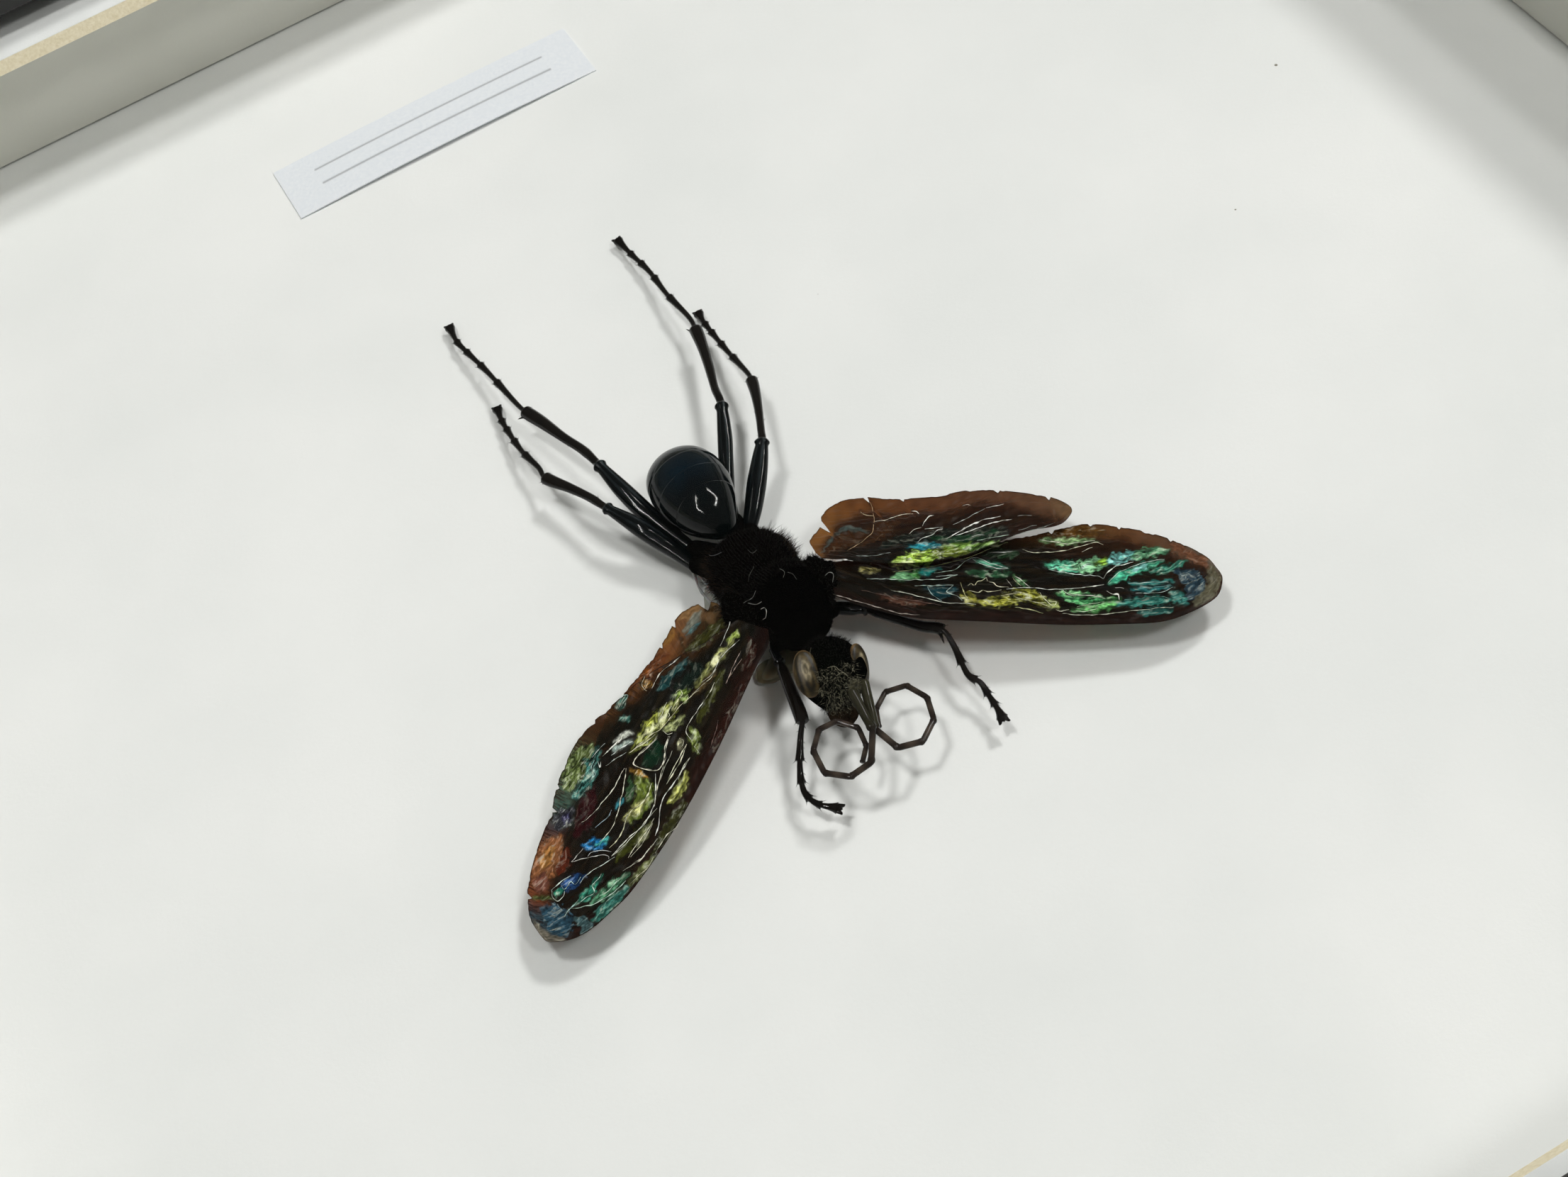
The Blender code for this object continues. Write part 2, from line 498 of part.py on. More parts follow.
def cone(root, tip, radius):
    """A slender three-sided spike."""
    root, tip = np.asarray(root, float), np.asarray(tip, float)
    along = (tip - root) / np.linalg.norm(tip - root)
    side = np.cross(along, (0.3, 0.2, 1.0))
    side /= np.linalg.norm(side)
    up = np.cross(side, along)
    ring = [root + radius * (math.cos(a) * side + math.sin(a) * up) for a in (0, 2.094, 4.189)]
    return [*ring, tip], [(0, 1, 2), (0, 3, 1), (1, 3, 2), (2, 3, 0)]


def fused(name, pieces, finish):
    """Unions several closed shapes into one object."""
    made = [solid(f"{name}_{i}", points, faces, finish, 50) for i, (points, faces) in enumerate(pieces)]
    whole = made[0]
    for extra in made[1:]:
        join = whole.modifiers.new(extra.name, "BOOLEAN")
        join.operation = "UNION"
        join.solver = "EXACT"
        join.object = extra
    bpy.context.view_layer.update()
    graph = bpy.context.evaluated_depsgraph_get()
    mesh = bpy.data.meshes.new_from_object(whole.evaluated_get(graph))
    for thing in made:
        bpy.data.objects.remove(thing, do_unlink=True)
    mesh.name = name
    thing = bpy.data.objects.new(name, mesh)
    bpy.context.scene.collection.objects.link(thing)
    return thing


def leg(name, stations):
    """A jointed leg with two claws at its end and, on most, a spur at the end of the shin."""
    table = lifted(stations)
    path, radius = table[:, :3], table[:, 3]
    pieces = [skin(path, radius, radius, LEG_SIDES)]
    along = (path[-1] - path[-2]) / np.linalg.norm(path[-1] - path[-2])
    side = np.cross(along, (0.0, 0.0, 1.0))
    side /= np.linalg.norm(side)
    for way in (-1, 1):
        root = path[-1] + side * way * radius[-1] * 0.4
        tip = path[-1] + along * CLAW_LENGTH + side * way * CLAW_SPREAD
        pieces.append(cone(root, tip, CLAW_RADIUS))
    if name in SPURS:
        root, tip = lifted(SPURS[name])
        pieces.append(cone(root, tip, SPUR_RADIUS))
    return fused(name, pieces, "black_chitin")


def antenna(name, joints):
    """A feeler of straight joints, a little rounded at each elbow and tapering to its end."""
    corners = lifted(joints)
    path = [corners[0]]
    for before, here, after in zip(corners, corners[1:], corners[2:]):
        for other in (before, after):
            away = other - here
            path.append(here + away * JOINT_REACH / np.linalg.norm(away))
    path = np.vstack([*path, corners[-1]])
    width = np.linspace(1.15, 0.8, len(path)) * ANTENNA_RADIUS
    points, faces = skin(path, width, width, ANTENNA_SIDES)
    return solid(name, points, faces, "black_chitin", 40)


def glue_blob(name, centre, half):
    """A low lumpy pool of set glue under the body."""
    rows, sides = 7, 14
    tilt = np.linspace(0, math.pi, rows)[1:-1, None]
    round_ = np.arange(sides)[None] * 2 * math.pi / sides
    wobble = 1 + 0.10 * np.sin(3 * round_ + 1.0) + 0.06 * np.sin(5 * round_)
    shape = np.stack([half[0] * np.sin(tilt) * np.cos(round_) * wobble,
                      half[1] * np.sin(tilt) * np.sin(round_) * wobble,
                      half[2] * np.cos(tilt) * np.ones_like(round_)], axis=-1).reshape(-1, 3)
    points = np.vstack([shape, (0, 0, half[2]), (0, 0, -half[2])]) + lifted([centre])
    top, bottom = len(points) - 2, len(points) - 1
    faces = [(i * sides + j, (i + 1) * sides + j, (i + 1) * sides + (j + 1) % sides, i * sides + (j + 1) % sides)
             for i in range(rows - 3) for j in range(sides)]
    faces += [(top, j, (j + 1) % sides) for j in range(sides)]
    faces += [(bottom, (rows - 3) * sides + (j + 1) % sides, (rows - 3) * sides + j) for j in range(sides)]
    return solid(name, points, faces, "hot_melt_glue", 60)


def frame():
    """The box: rails, boards, glass and the fittings at its back."""
    rails()
    window_mat()
    spacers()
    boards()
    hanger()
    panel_points()


def wasp():
    """The insect and the glue that holds it."""
    body_piece("thorax", THORAX, 18, 16, "velvet_thorax", thorax_lobes)
    body_piece("abdomen", ABDOMEN, 26, 16, "black_chitin", abdomen_grooves)
    head()
    for name, values in WINGS.items():
        wing(name, **values)
    for name, stations in LEGS.items():
        leg(name, stations)
    for name, joints in ANTENNAE.items():
        antenna(name, joints)
    for name, (centre, half) in GLUE.items():
        glue_blob(name, centre, half)


clear_scene()
frame()
wasp()
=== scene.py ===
"""Looks of the framed tarantula hawk wasp: the finishes, and fine meshes of the insect, glue and label.

The box keeps its solids and gets its finishes here. Sizes are in millimetres until a mesh is made.
"""

import math

import bpy
import numpy as np
from mathutils import Matrix, Vector


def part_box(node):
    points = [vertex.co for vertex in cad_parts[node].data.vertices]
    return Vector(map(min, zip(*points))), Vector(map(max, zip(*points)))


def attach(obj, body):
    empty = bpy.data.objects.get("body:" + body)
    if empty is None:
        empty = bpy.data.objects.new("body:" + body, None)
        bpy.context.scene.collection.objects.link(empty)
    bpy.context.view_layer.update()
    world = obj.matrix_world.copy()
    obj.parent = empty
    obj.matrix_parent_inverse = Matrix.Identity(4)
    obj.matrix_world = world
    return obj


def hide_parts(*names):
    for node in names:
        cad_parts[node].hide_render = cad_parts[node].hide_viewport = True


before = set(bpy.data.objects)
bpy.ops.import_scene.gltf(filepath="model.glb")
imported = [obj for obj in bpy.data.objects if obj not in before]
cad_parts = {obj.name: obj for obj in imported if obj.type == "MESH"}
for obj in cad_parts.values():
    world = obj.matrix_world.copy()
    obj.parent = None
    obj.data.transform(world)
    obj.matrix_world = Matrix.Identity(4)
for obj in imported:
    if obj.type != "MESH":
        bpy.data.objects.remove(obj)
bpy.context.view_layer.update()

MM = 0.001
BOARD_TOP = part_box("backing_board")[1][2] / MM
RAIL_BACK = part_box("rail_bottom")[0][2] / MM

# Camera, in the frame's millimetres, with its roll in degrees
EYE = (37.5, 139.6, 190.7)
AIM = (1.0, 7.6, 10.8)
ROLL = -16.42
LENS = 57.0
SENSOR = 36.0
PHOTO_SIZE = (2212, 1660)
# Focal length in the photograph's pixels
FOCAL = LENS / SENSOR * PHOTO_SIZE[0]

# Soft lamps: direction from the wasp, distance in metres and power. Each side is a share of the distance
LAMPS = {
    "key": ((-3.7, -1.5, 5.0), 1.9, 15.0),
    "overhead": ((0.9, -0.3, 5.0), 0.85, 2.35),
    "far_side": ((-1.25, 2.0, 3.5), 1.5, 4.4),
}
LAMP_SPREAD = 0.145

# Narrow lamps, each between two directions from the wasp: they draw the bright V on the abdomen
STRIPS = [
    ((0.27, -0.13, 0.95), (0.63, 0.29, 0.72)),
    ((0.63, 0.29, 0.72), (0.53, 0.52, 0.67)),
    ((-0.44, -0.19, 0.88), (-0.73, 0.22, 0.65)),
    ((-0.73, 0.22, 0.65), (-0.42, 0.45, 0.79)),
]
# Their distance and width in metres, and their power for each metre of length
STRIP_FAR = 1.1
STRIP_WIDTH = 0.03
STRIP_POWER = 10.0

# Wasp body: stations of (x, y, height above the board, half width, half height)
THORAX = [
    (3.3, 4.7, 4.9, 2.0, 1.8), (3.4, 5.8, 5.0, 3.4, 2.9), (3.4, 8.0, 5.1, 3.95, 3.4),
    (3.0, 10.6, 5.3, 3.6, 3.3), (2.6, 13.2, 5.4, 3.3, 3.6), (2.5, 15.3, 5.4, 3.1, 3.4),
    (2.5, 16.9, 5.3, 2.3, 2.5), (2.5, 17.8, 5.2, 1.2, 1.3),
]
ABDOMEN = [
    (3.2, 2.9, 4.9, 0.9, 0.9), (3.3, 1.7, 5.0, 1.6, 1.6), (3.5, -0.3, 5.1, 2.7, 2.7),
    (3.6, -2.6, 4.9, 3.45, 3.2), (3.6, -5.0, 4.5, 3.65, 3.3), (3.6, -6.9, 3.8, 3.3, 2.8),
    (3.6, -8.4, 3.0, 2.2, 1.8), (3.6, -9.3, 2.4, 0.9, 0.7),
]
# Where the abdomen's plates end, as shares of its length
SEGMENT_EDGES = (0.30, 0.47, 0.63, 0.78, 0.90)

HEAD_CENTRE = (3.0, 21.9, 4.9)
HEAD_HALF = (2.85, 1.6, 3.5)
HEAD_PITCH = math.radians(48)
HEAD_TURN = math.radians(-15)

# Wing edges, root to tip: (x, y, height above the board)
# Nicks of the trailing edge: (place, depth, half width)
WINGS = {
    "forewing_left": {
        "lead": [(-1.0, 15.9, 6.6), (-2.1, 17.4, 6.3), (-3.2, 18.7, 6.1), (-5.6, 21.2, 5.7),
                 (-10.9, 24.9, 5.0), (-16.2, 28.5, 4.3), (-20.3, 31.0, 3.9), (-23.5, 32.7, 3.6),
                 (-26.4, 33.2, 3.4), (-28.8, 33.0, 3.2), (-30.3, 32.2, 3.1)],
        "trail": [(-2.0, 11.8, 6.3), (-6.4, 12.9, 4.7), (-9.3, 14.4, 3.7), (-14.3, 15.7, 2.9),
                  (-17.6, 16.7, 2.6), (-20.4, 17.9, 2.6), (-23.8, 19.1, 2.6), (-26.7, 21.7, 2.7),
                  (-29.0, 24.9, 2.8), (-30.6, 28.4, 2.9), (-30.8, 30.1, 3.0)],
        "nicks": [(0.565, 0.4, 0.25), (0.66, 0.3, 0.2), (0.73, 0.35, 0.2), (0.86, 0.3, 0.25)],
        "grid": (288, 138),
        "folds": 3.0,
        "seed": 11,
    },
    "hindwing_left": {
        "lead": [(-2.0, 11.7, 6.8), (-4.6, 13.7, 6.4), (-7.4, 15.4, 5.8), (-10.1, 16.7, 5.3),
                 (-13.0, 17.6, 4.9), (-15.2, 17.7, 4.6), (-18.9, 18.0, 4.2), (-21.6, 18.8, 3.8),
                 (-23.4, 18.7, 3.7)],
        "trail": [(-1.9, 10.4, 6.3), (-2.2, 8.7, 5.9), (-3.7, 7.6, 5.4), (-4.2, 7.0, 5.1), (-4.8, 6.0, 4.9),
                  (-6.9, 5.2, 4.3), (-9.3, 5.9, 3.9), (-11.6, 7.6, 3.7), (-14.6, 9.3, 3.5),
                  (-17.2, 10.3, 3.4), (-19.7, 12.1, 3.4), (-22.6, 15.2, 3.6), (-24.0, 17.3, 3.7)],
        "nicks": [(0.151, 1.6, 0.5), (0.358, 0.9, 0.2), (0.47, 0.45, 0.2), (0.763, 0.3, 0.3),
                  (0.925, 0.45, 0.25)],
        "grid": (250, 110),
        "folds": 2.0,
        "seed": 12,
    },
    "forewing_right": {
        "lead": [(5.7, 15.9, 7.2), (6.3, 17.1, 7.1), (7.8, 18.2, 7), (9.6, 19.5, 6.8), (14.9, 23.3, 5.8),
                 (20.8, 27.1, 4.9), (26.6, 30.0, 4.1), (29.5, 30.8, 3.7), (31.8, 31.2, 3.5),
                 (33.6, 31.0, 3.4), (34.8, 30.5, 3.2)],
        "trail": [(7.4, 13.4, 7.2), (11.1, 13.0, 6.2), (13.7, 12.5, 5.4), (16.6, 12.2, 4.8),
                  (19.5, 12.6, 4.3), (24.0, 13.7, 3.8), (27.9, 16.7, 3.4), (29.4, 18.7, 3.3),
                  (32.3, 21.5, 3.0), (34.5, 24.3, 2.9), (35.4, 26.4, 2.9), (35.6, 29.2, 3.1)],
        "nicks": [(0.255, 0.35, 0.3), (0.42, 0.3, 0.3), (0.60, 0.3, 0.25), (0.66, 0.5, 0.2),
                  (0.88, 0.45, 0.25)],
        "grid": (288, 138),
        "folds": 3.0,
        "seed": 13,
    },
    "hindwing_right": {
        "lead": [(7.5, 12.4, 6.0), (9.2, 13.4, 5.3), (13.1, 14.5, 4.1), (17.1, 15.2, 3.2), (21.0, 15.3, 2.5),
                 (23.4, 15.0, 2.3)],
        "trail": [(7.4, 10.6, 5.5), (7.7, 9.3, 5.1), (8.3, 8.4, 4.8), (10.0, 7.6, 4.4), (11.6, 7.9, 4.1),
                  (13.8, 9.2, 3.6), (16.9, 10.6, 3.1), (20.3, 11.8, 2.6), (23.4, 14.2, 2.3)],
        "nicks": [(0.145, 1.0, 0.6), (0.325, 0.6, 0.25), (0.442, 0.4, 0.2)],
        "grid": (190, 80),
        "folds": 1.0,
        "seed": 14,
    },
}
# Height of the wings' pleats and crumple, thickness of the film, and the share of its length in the tip
FOLD_HEIGHT = 0.2
CRUMPLE = 0.07
MEMBRANE = 0.05
TIP_SHARE = 0.06

# Close-ups of the photograph in which places are read: corner in the photograph, enlargement
CLOSE_UPS = {
    "left_root": (1130, 670, 5.058),
    "left_tip": (1420, 720, 5.058),
    "right_root": (870, 840, 6.031),
    "right_tip": (740, 1040, 4.612),
    "body_back": (818.4, 564.1, 3.222),
    "body_head": (1020, 880, 5.6),
}

# Folds of coloured film by close-up, their iridescent sheen painted as colour, later ones over earlier ones:
# (colour, crumple, [(x, y, half width)])
SHEEN_FOLDS = {
    "left_root": [
        ("33200f", 0.1, [(180, 560, 20), (280, 480, 60), (430, 450, 60), (560, 400, 50), (700, 340, 30)]),
        ("3a4a48", 0.1, [(150, 560, 6), (230, 440, 10), (330, 380, 16), (400, 388, 16), (480, 408, 7)]),
        ("0c1814", 0.2, [(560, 520, 30), (700, 470, 40), (900, 450, 50), (1150, 440, 60), (1450, 400, 60)]),
        ("123a22", 0.4, [(900, 440, 8), (1080, 460, 22), (1250, 440, 22), (1400, 400, 12)]),
        ("b4dc50", 1, [(640, 640, 10), (700, 622, 32), (800, 600, 46), (890, 588, 48), (960, 570, 40)]),
        ("e0f8a0", 1, [(655, 640, 8), (720, 635, 20), (800, 630, 22)]),
        ("6a7a24", 0.9, [(960, 560, 36), (1040, 550, 42), (1140, 540, 36), (1220, 530, 26)]),
        ("4a6a2c", 0.9, [(1160, 520, 24), (1300, 505, 22), (1400, 492, 14), (1480, 480, 5)]),
        ("8cb850", 0.9, [(1000, 515, 7), (1120, 503, 12), (1250, 495, 9), (1400, 486, 5)]),
        ("24a0b0", 0.9, [(765, 515, 5), (830, 508, 20), (900, 500, 23), (985, 506, 7)]),
        ("86cc90", 0.8, [(645, 735, 9), (720, 722, 26), (800, 708, 30)]),
        ("4a9448", 0.8, [(790, 705, 30), (850, 696, 34)]),
        ("1f8e88", 0.6, [(860, 692, 34), (920, 680, 30), (1000, 660, 8)]),
        ("a8a060", 1, [(415, 676, 12), (480, 678, 22), (560, 682, 9)]),
        ("0d3a42", 0.4, [(880, 790, 8), (940, 825, 34), (1030, 835, 40), (1110, 815, 14)]),
        ("a4a03c", 1, [(1140, 850, 14), (1190, 878, 40), (1240, 905, 26)]),
        ("b0b040", 1, [(1270, 908, 10), (1380, 903, 28), (1480, 888, 32), (1590, 866, 34)]),
        ("62c8a4", 0.7, [(1228, 600, 5), (1300, 624, 16), (1380, 645, 20), (1472, 666, 6)]),
        ("14301a", 0.3, [(1300, 560, 20), (1420, 560, 30), (1540, 560, 30)]),
        ("2e5a3c", 0.7, [(1180, 690, 6), (1260, 700, 22), (1380, 710, 18), (1500, 705, 10)]),
        ("54362a", 0.3, [(540, 850, 14), (660, 885, 24), (780, 905, 26), (900, 915, 14)]),
    ],
    "left_tip": [
        ("b4e49c", 0.9, [(232, 214, 8), (330, 214, 14), (430, 222, 20), (530, 215, 16), (630, 214, 6)]),
        ("5a3c14", 0.5, [(300, 170, 20), (420, 150, 34), (560, 145, 40), (680, 150, 30)]),
        ("6ce0b4", 1, [(276, 385, 6), (350, 395, 24), (440, 405, 34), (520, 408, 36)]),
        ("a4f0b4", 1, [(480, 402, 26), (560, 395, 38), (640, 385, 42), (700, 385, 38)]),
        ("a8e048", 1, [(640, 380, 14), (690, 368, 24), (730, 362, 12)]),
        ("8ce4dc", 1, [(730, 372, 36), (800, 345, 32), (880, 325, 26), (940, 318, 14)]),
        ("5a9a70", 0.9, [(900, 330, 24), (1000, 305, 34), (1080, 290, 30), (1150, 290, 16)]),
        ("4cc49c", 0.8, [(728, 520, 8), (800, 482, 26), (880, 442, 32), (960, 405, 30), (1040, 382, 22),
            (1112, 362, 8)]),
        ("a8f8f0", 0.6, [(900, 425, 8), (950, 405, 16), (1000, 388, 8)]),
        ("3a8a74", 0.9, [(1030, 442, 12), (1120, 420, 24), (1200, 398, 20), (1290, 358, 8)]),
        ("46b4ac", 0.5, [(866, 520, 6), (960, 520, 9), (1080, 515, 8), (1190, 500, 5)]),
        ("267a7c", 0.6, [(890, 560, 12), (980, 562, 20), (1080, 560, 18), (1180, 540, 8)]),
        ("62c87c", 1, [(350, 585, 8), (420, 598, 28), (500, 622, 38), (580, 636, 36), (660, 640, 24),
            (712, 640, 8)]),
        ("9cf0a0", 1, [(360, 580, 6), (430, 592, 14), (520, 604, 14), (620, 616, 8)]),
        ("3c7a40", 0.9, [(700, 650, 22), (760, 648, 30), (810, 635, 16)]),
        ("74cc74", 0.8, [(478, 712, 12), (580, 702, 20), (680, 690, 18), (780, 668, 16)]),
        ("348478", 0.6, [(790, 668, 18), (900, 656, 30), (1020, 642, 30), (1120, 636, 26), (1190, 650, 14)]),
        ("28605a", 0.5, [(940, 730, 16), (1060, 715, 26), (1180, 700, 26)]),
        ("28404e", 0.5, [(1210, 430, 24), (1290, 470, 56), (1350, 510, 70), (1330, 580, 66),
            (1290, 630, 44)]),
        ("3a7c74", 0.6, [(1170, 590, 20), (1230, 620, 34), (1270, 660, 40)]),
        ("5c5a48", 0.2, [(1455, 420, 44), (1480, 500, 44), (1440, 590, 44), (1350, 670, 32)]),
        ("6a4632", 0.2, [(1180, 235, 30), (1290, 310, 30), (1400, 370, 44), (1440, 400, 24)]),
        ("a0a038", 1, [(-20, 612, 26), (80, 600, 34), (160, 606, 34), (240, 642, 28), (300, 690, 18)]),
        ("d4e488", 1, [(280, 655, 12), (330, 672, 26), (360, 690, 14)]),
        ("8ad88c", 0.8, [(56, 468, 5), (92, 508, 20), (156, 547, 5)]),
    ],
    "right_root": [
        ("3a3a14", 0.3, [(600, 470, 26), (690, 410, 46), (800, 320, 44), (900, 220, 36), (1000, 110, 16)]),
        ("3a2810", 0.2, [(760, 120, 30), (870, 100, 36), (980, 70, 16)]),
        ("866840", 0, [(770, 55, 14), (830, 62, 22), (920, 55, 12)]),
        ("8a6c48", 0, [(520, 200, 20), (590, 160, 60), (650, 120, 60), (700, 90, 26)]),
        ("7a7c70", 0.2, [(580, 300, 30), (650, 220, 34), (710, 130, 22)]),
        ("3a6a70", 0.4, [(590, 350, 6), (640, 290, 14), (710, 215, 5)]),
        ("86602f", 0, [(400, 420, 20), (440, 360, 46), (480, 290, 30)]),
        ("46321c", 0.3, [(520, 330, 12), (560, 400, 20), (570, 470, 14)]),
        ("12201a", 0.2, [(600, 560, 20), (690, 640, 60), (600, 740, 60), (480, 860, 50)]),
        ("1a4446", 0.4, [(600, 545, 16), (545, 605, 30), (480, 665, 30), (420, 725, 36), (368, 795, 42)]),
        ("3c5858", 0.3, [(605, 535, 8), (560, 580, 14), (520, 620, 8)]),
        ("64391e", 0.2, [(430, 500, 36), (300, 590, 70), (200, 680, 78), (100, 770, 40)]),
        ("94501c", 0.8, [(170, 690, 20), (230, 660, 34), (300, 640, 20)]),
        ("a07434", 1, [(190, 770, 12), (240, 760, 40), (300, 760, 18)]),
        ("34685e", 1, [(70, 860, 22), (30, 930, 34), (0, 960, 20)]),
        ("4c8478", 0.9, [(20, 1050, 8), (70, 1050, 22), (110, 1030, 8)]),
        ("a8bc58", 1, [(1030, 300, 12), (1000, 340, 26), (960, 390, 18)]),
        ("d4d884", 1, [(990, 380, 14), (930, 450, 26), (880, 505, 25), (830, 570, 20), (780, 640, 17),
            (720, 708, 15), (675, 765, 8)]),
        ("f4f4c0", 1, [(940, 450, 8), (880, 510, 13), (830, 575, 10), (770, 655, 7)]),
        ("7a6238", 0.6, [(850, 630, 6), (790, 700, 22), (720, 780, 18), (660, 840, 8)]),
        ("3a3c14", 0.3, [(900, 640, 30), (840, 780, 40), (760, 940, 36), (700, 1080, 40)]),
        ("a8c858", 1, [(600, 800, 14), (560, 850, 46), (510, 900, 46)]),
        ("c4cc58", 1, [(520, 900, 40), (460, 975, 56), (390, 1035, 62), (310, 1095, 52), (240, 1165, 40),
            (180, 1245, 24), (110, 1335, 6)]),
        ("f0f4b8", 1, [(560, 860, 12), (460, 980, 18), (370, 1070, 18), (260, 1160, 14), (180, 1250, 8)]),
        ("a8b078", 0.9, [(405, 1152, 8), (450, 1128, 26), (505, 1088, 26), (572, 1030, 10)]),
        ("7c8c40", 1, [(630, 1130, 14), (675, 1190, 26), (700, 1280, 10)]),
        ("0a2c1c", 0.1, [(330, 1250, 40), (340, 1330, 70), (280, 1410, 60), (220, 1440, 24)]),
        ("f0f4e8", 0.9, [(-20, 1250, 12), (60, 1195, 20), (135, 1158, 6)]),
        ("d4ece4", 0.9, [(-20, 1325, 12), (60, 1275, 16), (135, 1238, 5)]),
        ("f0ecc0", 0.9, [(540, 1215, 6), (548, 1250, 18), (540, 1295, 6)]),
        ("2a100b", 0.2, [(1170, 620, 16), (1080, 820, 46), (980, 1020, 50), (870, 1260, 46),
            (790, 1440, 40)]),
        ("2c120c", 0.3, [(1130, 360, 30), (1150, 500, 40), (1080, 620, 30)]),
    ],
    "right_tip": [
        ("c4cc60", 1, [(684, 104, 4), (740, 56, 18), (800, 14, 26), (850, -30, 24)]),
        ("6a7a44", 0.9, [(440, 60, 30), (370, 140, 70), (320, 230, 80), (290, 320, 60)]),
        ("4c9088", 1, [(480, 90, 26), (440, 170, 40), (430, 250, 34), (380, 330, 36), (330, 390, 34)]),
        ("b0d8d0", 1, [(450, 180, 8), (445, 225, 16), (430, 270, 8)]),
        ("505058", 0.9, [(300, 470, 40), (250, 530, 60), (220, 590, 34)]),
        ("5c5880", 0.9, [(300, 490, 12), (270, 530, 22), (260, 570, 10)]),
        ("96603c", 0.5, [(230, 650, 40), (170, 740, 74), (120, 850, 80), (80, 950, 60)]),
        ("b07a40", 0.5, [(180, 720, 26), (140, 790, 40), (110, 850, 22)]),
        ("7a4a3c", 0.5, [(120, 910, 50), (90, 980, 50)]),
        ("5a2412", 0.3, [(280, 720, 22), (260, 800, 36), (220, 880, 30)]),
        ("2c0c10", 0.1, [(460, 330, 20), (410, 450, 56), (380, 560, 56), (340, 640, 36)]),
        ("2a94dc", 0.9, [(390, 706, 12), (440, 702, 36), (490, 692, 30), (530, 670, 18)]),
        ("60dcd8", 0.8, [(470, 690, 8), (510, 680, 20), (545, 655, 8)]),
        ("5cd0e4", 0.6, [(640, 400, 6), (622, 420, 16), (600, 455, 6)]),
        ("2c5c9c", 0.8, [(220, 1010, 16), (290, 955, 34), (345, 922, 32), (395, 900, 10)]),
        ("2c9074", 0.8, [(200, 1010, 14), (222, 1010, 26), (250, 1000, 12)]),
        ("3a9c82", 0.9, [(505, 888, 5), (470, 940, 14), (430, 1000, 26), (380, 1050, 24), (330, 1085, 8)]),
        ("6cb88c", 0.9, [(672, 888, 8), (620, 935, 24), (560, 992, 28), (500, 1032, 24), (430, 1085, 10)]),
        ("3c7c70", 0.7, [(668, 975, 12), (605, 1040, 32), (545, 1100, 38), (490, 1155, 36), (450, 1195, 18)]),
        ("7a8050", 0.9, [(850, 770, 8), (790, 850, 26), (725, 910, 24), (680, 955, 8)]),
        ("2c4c5e", 0.6, [(110, 1110, 30), (190, 1160, 76), (240, 1220, 80), (170, 1240, 70)]),
        ("486468", 0.6, [(330, 1180, 24), (400, 1210, 34), (380, 1260, 24)]),
        ("5c6a34", 0.7, [(60, 1045, 6), (140, 1045, 12), (190, 1052, 5)]),
        ("706a5e", 0.4, [(60, 1190, 14), (100, 1270, 30), (170, 1315, 36), (260, 1330, 26)]),
        ("6c7c30", 0.6, [(730, 240, 24), (765, 300, 56), (790, 370, 56), (750, 450, 46), (690, 540, 22)]),
        ("2c4a2c", 0.4, [(690, 260, 12), (690, 340, 22), (670, 420, 14)]),
        ("b08434", 1, [(690, 215, 8), (740, 232, 16), (800, 262, 8)]),
        ("e4e494", 0.9, [(800, 408, 6), (750, 445, 22), (695, 497, 24), (645, 545, 6)]),
        ("3c4014", 0.3, [(820, 560, 30), (740, 640, 40), (660, 720, 30), (600, 800, 20)]),
        ("b4b880", 0.8, [(822, 560, 5), (785, 630, 16), (735, 710, 5)]),
        ("d4d870", 1, [(1056, 225, 8), (1030, 310, 24), (985, 380, 22), (936, 436, 6)]),
        ("8c9c44", 1, [(1070, 0, 8), (1108, 50, 20), (1132, 104, 5)]),
        ("f0ecc0", 0.9, [(1012, 4, 5), (1016, 40, 15), (1010, 76, 5)]),
        ("30300f", 0.4, [(1040, 420, 30), (1000, 500, 40), (920, 620, 30), (830, 760, 20)]),
    ],
}
